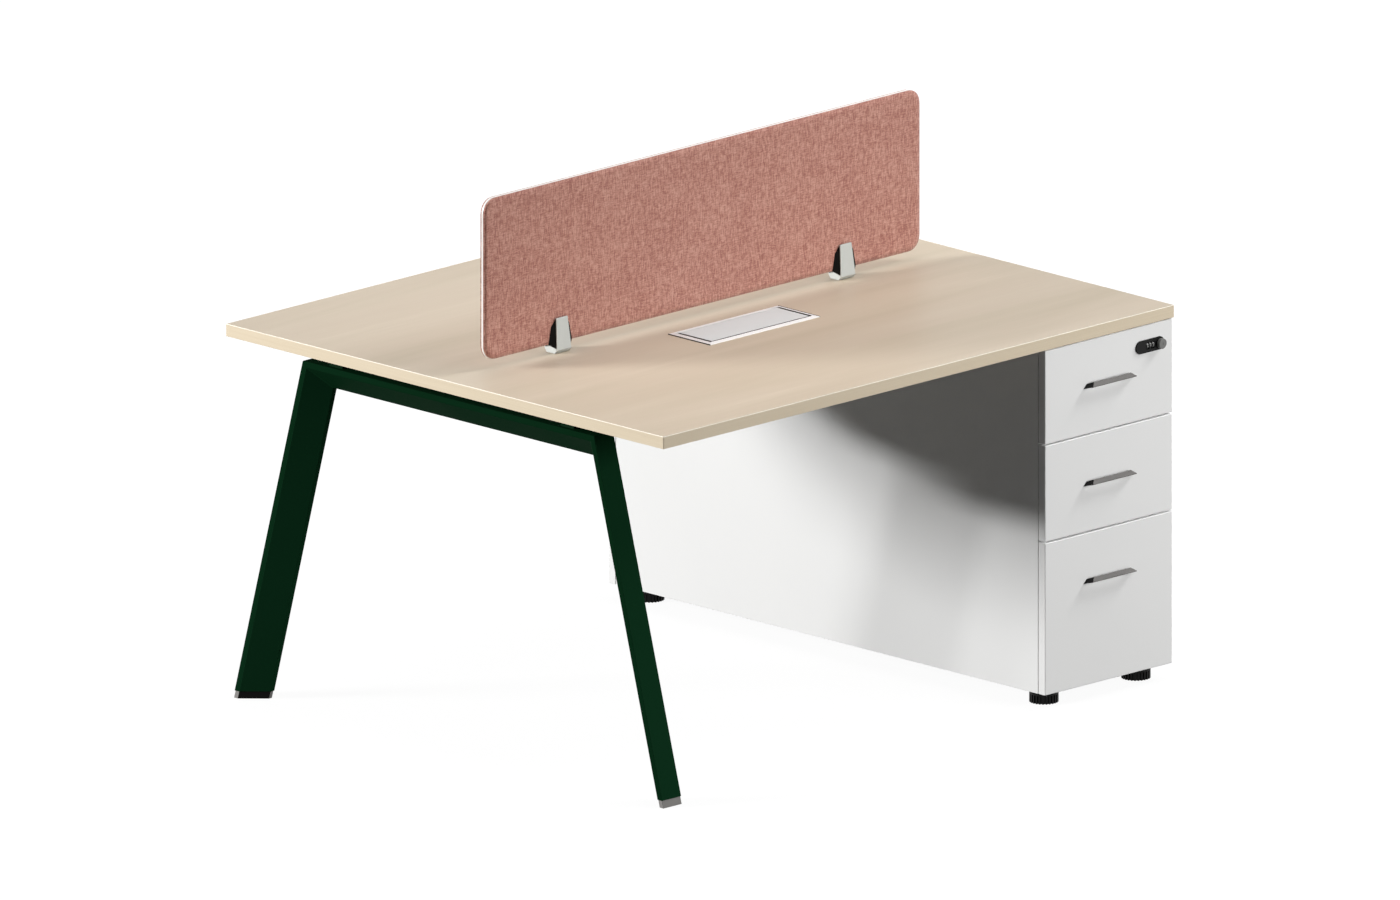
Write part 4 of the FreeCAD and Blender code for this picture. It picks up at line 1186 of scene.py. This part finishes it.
@dataclass
class Cabinet:
    """The cabinet's panels and the fixed rails inside it."""

    shop: Workshop
    heads: PanHeads
    web_x: tuple[float, float] = (0.3655, 0.6785)
    screw_lines: Triple = (0.104, 0.329, 0.534)

    def build(self) -> None:
        """Rounds and dresses the panels and rails, and screws the rails on."""
        self.shop.round("white_board", Rounding(0.5 * MM), "cabinet_sides", "cabinet_base",
                        "cabinet_divider", "cabinet_top")
        self.shop.paint("rail_steel", "runner_rails")
        places = [((x, side.value * y, z), (way, 0, 0)) for x, way in zip(self.web_x, (1, -1))
                  for z in RUNNER_LEVELS.values() for y in self.screw_lines for side in Side]
        self.shop.screws(self.heads, "rail_screws", "desk", places,
                         Radius=3.2 * MM, Height=0.9 * MM, Flange=0.4 * MM, Sides=16)


@dataclass
class DrawerStack:
    """One user's three drawers with their handles and the moving half of their runners."""

    shop: Workshop
    heads: PanHeads
    side: Side
    channel_x: tuple[float, float] = (0.3755, 0.6685)
    handle_levels: dict[Drawer, float] = field(default_factory=lambda: {
        Drawer.BOTTOM: 0.2404, Drawer.MIDDLE: 0.4360, Drawer.TOP: 0.6315})
    handle_x: tuple[float, float] = (0.464, 0.580)
    front_back_y: float = 0.580
    screw_lines: Triple = (0.120, 0.300, 0.545)

    def screw_seats(self, drawer: Drawer) -> list[Seat]:
        """Where screws hold one drawer's handle, inside its front, and its two channels."""
        out = self.side.value
        in_front = [((x, out * self.front_back_y, self.handle_levels[drawer]), (0, -out, 0))
                    for x in self.handle_x]
        in_channels = [((x, out * y, RUNNER_LEVELS[drawer]), (way, 0, 0))
                       for x, way in zip(self.channel_x, (-1, 1)) for y in self.screw_lines]
        return in_front + in_channels

    @staticmethod
    def flank_share(normal: Vector, least: float = 0.5) -> float:
        """The painted shade's share of a handle: all on the faces that look sideways, none on the rest."""
        return float(abs(normal.x) > least)

    def build(self) -> None:
        """Rounds and dresses each drawer."""
        for drawer in Drawer:
            start = f"{self.side.word}_{drawer.value}"
            # Painted light: the fronts' upward faces, seen in the gaps between drawers, are made pure white
            self.shop.round("white_board", Rounding(1.4 * MM, sharper_than=20.0), start + "_drawer_front",
                            accent=upper_share)
            self.shop.paint("drawer_board", start + "_drawer_box")
            self.shop.paint("rail_steel", start + "_drawer_runners")
            # Painted shade: the handle's sideways faces are made near-black
            self.shop.round("handle_metal", Rounding(0.4 * MM, sharper_than=25.0), start + "_handle",
                            accent=self.flank_share)
            self.shop.screws(self.heads, start + "_drawer_screws", start + "_drawer",
                             self.screw_seats(drawer),
                             Radius=3.0 * MM, Height=0.8 * MM, Flange=0.4 * MM, Sides=16)


@dataclass
class CombinationLock:
    """One top drawer's lock: case, digit wheels, and knob with a dark strip of painted shade for its keyway.
    """

    shop: Workshop
    ribs: GripRibs
    side: Side
    turn_x: float = 0.522
    wheel_x: Triple = (0.6257, 0.6335, 0.6413)
    wheel_y: float = -0.5957
    level: float = 0.6815
    apothem: float = 6.5 * MM * math.cos(math.pi / 10)
    digits_to_a_turn: int = 10
    type_size: float = 4.14 * MM
    digit_rise: float = 0.04 * MM
    digit_steps: int = 3
    knob_x: float = 0.659
    knob_face_y: float = -0.6104
    keyway_size: Triple = (1.1 * MM, 0.16 * MM, 6.0 * MM)

    def turned(self, made: bpy.types.Object) -> bpy.types.Object:
        """Moves a near-side mesh to this lock's side."""
        if self.side is Side.FAR:
            about = Matrix.Translation((self.turn_x, 0, 0))
            made.data.transform(about @ Matrix.Rotation(math.pi, 4, "Z") @ about.inverted())
        return made

    def digit(self, value: int) -> bpy.types.Mesh:
        """One digit as a thin raised mesh, centred, standing up in the XZ plane and facing -Y."""
        curve = bpy.data.curves.new(f"digit_{value}", "FONT")
        curve.body = str(value)
        curve.size = self.type_size
        curve.extrude = self.digit_rise
        curve.resolution_u = self.digit_steps
        curve.align_x = "CENTER"
        holder = linked(f"digit_{value}", curve)
        mesh = shown_mesh(holder)
        bpy.data.objects.remove(holder)
        xs = [vertex.co.x for vertex in mesh.vertices]
        ys = [vertex.co.y for vertex in mesh.vertices]
        centre = Matrix.Translation((-(min(xs) + max(xs)) / 2, -(min(ys) + max(ys)) / 2, 0))
        mesh.transform(Matrix.Rotation(math.pi / 2, 4, "X") @ centre)
        return mesh

    def digits(self, name: str, x: float) -> bpy.types.Object:
        """The ten digits round one wheel."""
        build = bmesh.new()
        middle = Matrix.Translation((x, self.wheel_y, self.level))
        out = Matrix.Translation((0, -self.apothem, 0))
        for value in range(self.digits_to_a_turn):
            mesh = self.digit(value)
            turn = Matrix.Rotation(math.tau * value / self.digits_to_a_turn, 4, "X")
            mesh.transform(middle @ turn @ out)
            build.from_mesh(mesh)
            bpy.data.meshes.remove(mesh)
        return self.turned(from_bmesh(name, build))

    def keyway(self, name: str) -> bpy.types.Object:
        """A thin dark strip on the knob's face: painted shade standing for the keyway's slot."""
        build = bmesh.new()
        add_box(build, Vector((self.knob_x, self.knob_face_y, self.level)), Vector(self.keyway_size))
        return self.turned(from_bmesh(name, build))

    def build(self) -> None:
        """Builds and dresses the lock."""
        word = self.side.word
        self.shop.round("lock_plastic", Rounding(0.6 * MM, sharper_than=40.0), word + "_lock_case")
        self.shop.round("knob_metal", Rounding(0.3 * MM, 2, 30.0), word + "_lock_knob")
        # Painted shade: a dark strip on the knob's face for the keyway's slot
        keyway = self.keyway(word + "_knob_keyway")
        self.shop.settle(keyway, "keyway_dark", word + "_lock_knob", "black_plastic")
        for index, x in enumerate(self.wheel_x, 1):
            wheel = f"{word}_lock_wheel_{index}"
            self.shop.paint("wheel_plastic", wheel)
            self.shop.settle(self.digits(wheel + "_digits", x), "digit_paint", wheel, "white_plastic")
            axle = seats(wheel + "_ribs", [((x, self.wheel_y, self.level), (1, 0, 0))])
            ribs = self.ribs.grow(wheel + "_ribs", axle, self.shop.palette["wheel_plastic"],
                                  Ribs=10, Radius=6.35 * MM, Width=0.7 * MM, Depth=0.3 * MM)
            self.shop.settle(self.turned(ribs), "wheel_plastic", wheel, "black_plastic")


@dataclass
class LevellingFeet:
    """The four round feet: a turned body, a ribbed skirt and a threaded stem."""

    shop: Workshop
    skirt: RibbedSkirt
    radius: float = 28.75 * MM
    valley: float = 25.9 * MM
    skirt_height: float = 17 * MM
    top: float = 31.7 * MM
    stem_radius: float = 4.6 * MM
    stem_top: float = 54 * MM
    hem: tuple[float, float] = (1 * MM, 0.6 * MM)
    lip: tuple[float, float] = (0.3 * MM, 0.4 * MM)
    shoulder: float = 1.2 * MM
    stem_end: float = 0.8 * MM
    steps: int = 64
    xs: dict[str, float] = field(default_factory=lambda: {"inner": 0.4025, "outer": 0.6545})
    y: float = 0.540

    def body(self, x: float, y: float) -> bpy.types.Mesh:
        """The turned shape of one foot."""
        outline = ((0.0, 0.0), (self.valley - self.hem[0], 0.0), (self.valley, self.hem[1]),
                   (self.valley, self.skirt_height), (self.radius - self.lip[0], self.skirt_height),
                   (self.radius, self.skirt_height + self.lip[1]), (self.radius, self.top - self.shoulder),
                   (self.radius - self.shoulder, self.top), (self.stem_radius, self.top),
                   (self.stem_radius, self.stem_top - self.stem_end),
                   (self.stem_radius - self.stem_end, self.stem_top), (0.0, self.stem_top))
        build = bmesh.new()
        chain = [build.verts.new((radius, 0.0, z)) for radius, z in outline]
        edges = [build.edges.new(pair) for pair in zip(chain, chain[1:])]
        bmesh.ops.spin(build, geom=chain + edges, axis=(0, 0, 1), cent=(0, 0, 0), steps=self.steps,
                       angle=2 * math.pi, use_duplicate=False)
        bmesh.ops.remove_doubles(build, verts=build.verts, dist=SAME_POINT / 2)
        bmesh.ops.recalc_face_normals(build, faces=build.faces)
        bmesh.ops.translate(build, verts=build.verts, vec=(x, y, 0))
        return mesh_of("foot_body", build)

    def build(self) -> None:
        """Builds each foot in its node's place."""
        for side in Side:
            for word, x in self.xs.items():
                node = f"{side.word}_{word}_foot"
                y = side.value * self.y
                made = self.skirt.grow(node + "_ribbed", self.body(x, y), self.shop.palette["foot_plastic"],
                                       X=x, Y=y)
                self.shop.settle(made, "foot_plastic", node, slot_of_node(node), node)


# Studio

def aimed(name: str, data: bpy.types.ID, place: Vector, way: Vector) -> bpy.types.Object:
    """Puts a lamp or camera at a place, looking along a way."""
    made = linked(name, data)
    made.location = place
    made.rotation_mode = "QUATERNION"
    made.rotation_quaternion = way.to_track_quat("-Z", "Y")
    return made


@dataclass
class Lamp:
    """One soft rectangular light."""

    name: str
    place: Triple
    aim: Triple
    width: float
    height: float
    power: float

    def build(self) -> None:
        """Puts the light in the scene."""
        data = bpy.data.lights.new(self.name, "AREA")
        data.shape = "RECTANGLE"
        data.size = self.width
        data.size_y = self.height
        data.energy = self.power
        place = Vector(self.place)
        aimed(self.name, data, place, Vector(self.aim) - place)


@dataclass
class Studio:
    """Pale floor, soft lights, and the camera at the photograph's angle."""

    azimuth: float = -45.0
    elevation: float = 15.0
    centre: Triple = (0.0, 0.0, 0.4777)
    frame_width: float = 2.713
    distance: float = 6.0
    view_depth: float = 50.0
    daylight: float = 0.025
    floor_half: float = 30.0
    floor_colour: float = 0.07
    floor_rough: float = 0.9
    floor_specular: float = 0.1
    floor_glow: float = 0.94
    glow_reach: tuple[float, float] = (1.2, 3.2)
    key_place: tuple[float, float] = (-9.9, 6.8)
    under_desk: Triple = (0.2, 0.0, 0.5)

    def camera(self) -> None:
        """A parallel camera at the photograph's angle."""
        data = bpy.data.cameras.new("camera")
        data.type = "ORTHO"
        data.ortho_scale = self.frame_width
        data.clip_end = self.view_depth
        turn, rise = math.radians(self.azimuth), math.radians(self.elevation)
        back = Vector((math.sin(turn) * math.cos(rise), -math.cos(turn) * math.cos(rise), math.sin(rise)))
        bpy.context.scene.camera = aimed("camera", data, Vector(self.centre) + back * self.distance, -back)

    def world(self) -> None:
        """Even daylight that the camera and gloss see as white."""
        world = bpy.data.worlds.new("daylight")
        world.use_nodes = True
        bpy.context.scene.world = world
        graph = Graph(world.node_tree)
        light = next(node for node in world.node_tree.nodes if node.type == "BACKGROUND")
        strength = graph.spread(graph.seen_plainly(), 0.0, 1.0, self.daylight, 1.0)
        graph.tree.links.new(strength, light.inputs["Strength"])
        light.inputs["Color"].default_value = WHITE

    def floor(self) -> None:
        """A wide pale floor that keeps the desk's shadow."""
        build = bmesh.new()
        bmesh.ops.create_grid(build, x_segments=1, y_segments=1, size=self.floor_half)
        made = from_bmesh("studio_floor", build)
        material = bpy.data.materials.new("pale_floor")
        material.use_nodes = True
        graph = Graph(material.node_tree)
        shader = next(node for node in material.node_tree.nodes if node.type == "BSDF_PRINCIPLED")
        shader.inputs["Base Color"].default_value = (*(self.floor_colour,) * 3, 1.0)
        shader.inputs["Roughness"].default_value = self.floor_rough
        shader.inputs["Specular IOR Level"].default_value = self.floor_specular
        place = graph.add("ShaderNodeTexCoord").outputs["Object"]
        distance = graph.add("ShaderNodeVectorMath", {0: place}, operation="LENGTH").outputs["Value"]
        level = graph.spread(distance, *self.glow_reach, self.floor_glow, 1.0)
        glow = graph.calc("MULTIPLY", graph.seen_plainly(), level)
        graph.tree.links.new(glow, shader.inputs["Emission Strength"])
        shader.inputs["Emission Color"].default_value = WHITE
        made.data.materials.append(material)

    def lamps(self) -> Iterable[Lamp]:
        """A key in two bands from behind on the left, and softer lights from the right, front and top."""
        x, y = self.key_place
        yield Lamp("key_low", (x, y, 3.33), self.under_desk, 1.95, 0.51, 850.0)
        yield Lamp("key_high", (x, y, 4.59), self.under_desk, 3.7, 2.0, 1060.0)
        yield Lamp("right_side", (4.1, -2.1, 4.2), (0.0, 0.0, 0.75), 1.5, 1.5, 146.0)
        yield Lamp("front_fill", (2.9, -6.2, 2.0), (0.1, 0.0, 0.4), 2.4, 2.4, 262.0)
        yield Lamp("overhead", (0.3, 0.1, 4.2), (0.3, 0.1, 0.0), 2.6, 2.6, 66.0)

    def build(self) -> None:
        """Sets up the whole studio."""
        bpy.context.scene.view_settings.view_transform = "Standard"
        self.camera()
        self.world()
        self.floor()
        for lamp in self.lamps():
            lamp.build()


def main() -> None:
    """Builds and dresses the whole desk."""
    logging.basicConfig(level=logging.INFO, format="%(message)s")
    shop = Workshop(Palette())
    heads = PanHeads()
    trim = EdgeTrim()
    assemblies = [Worktop(shop, trim), LegFrame(shop), Understructure(shop, heads), Screen(shop, trim),
                  CableBoxes(shop), Cabinet(shop, heads), LevellingFeet(shop, RibbedSkirt())]
    ribs = GripRibs()
    for side in Side:
        assemblies.append(DrawerStack(shop, heads, side))
        assemblies.append(CombinationLock(shop, ribs, side))
    for assembly in assemblies:
        assembly.build()
    Studio().build()
    log.info("%d pieces", shop.count)


if __name__ == "__main__":
    main()
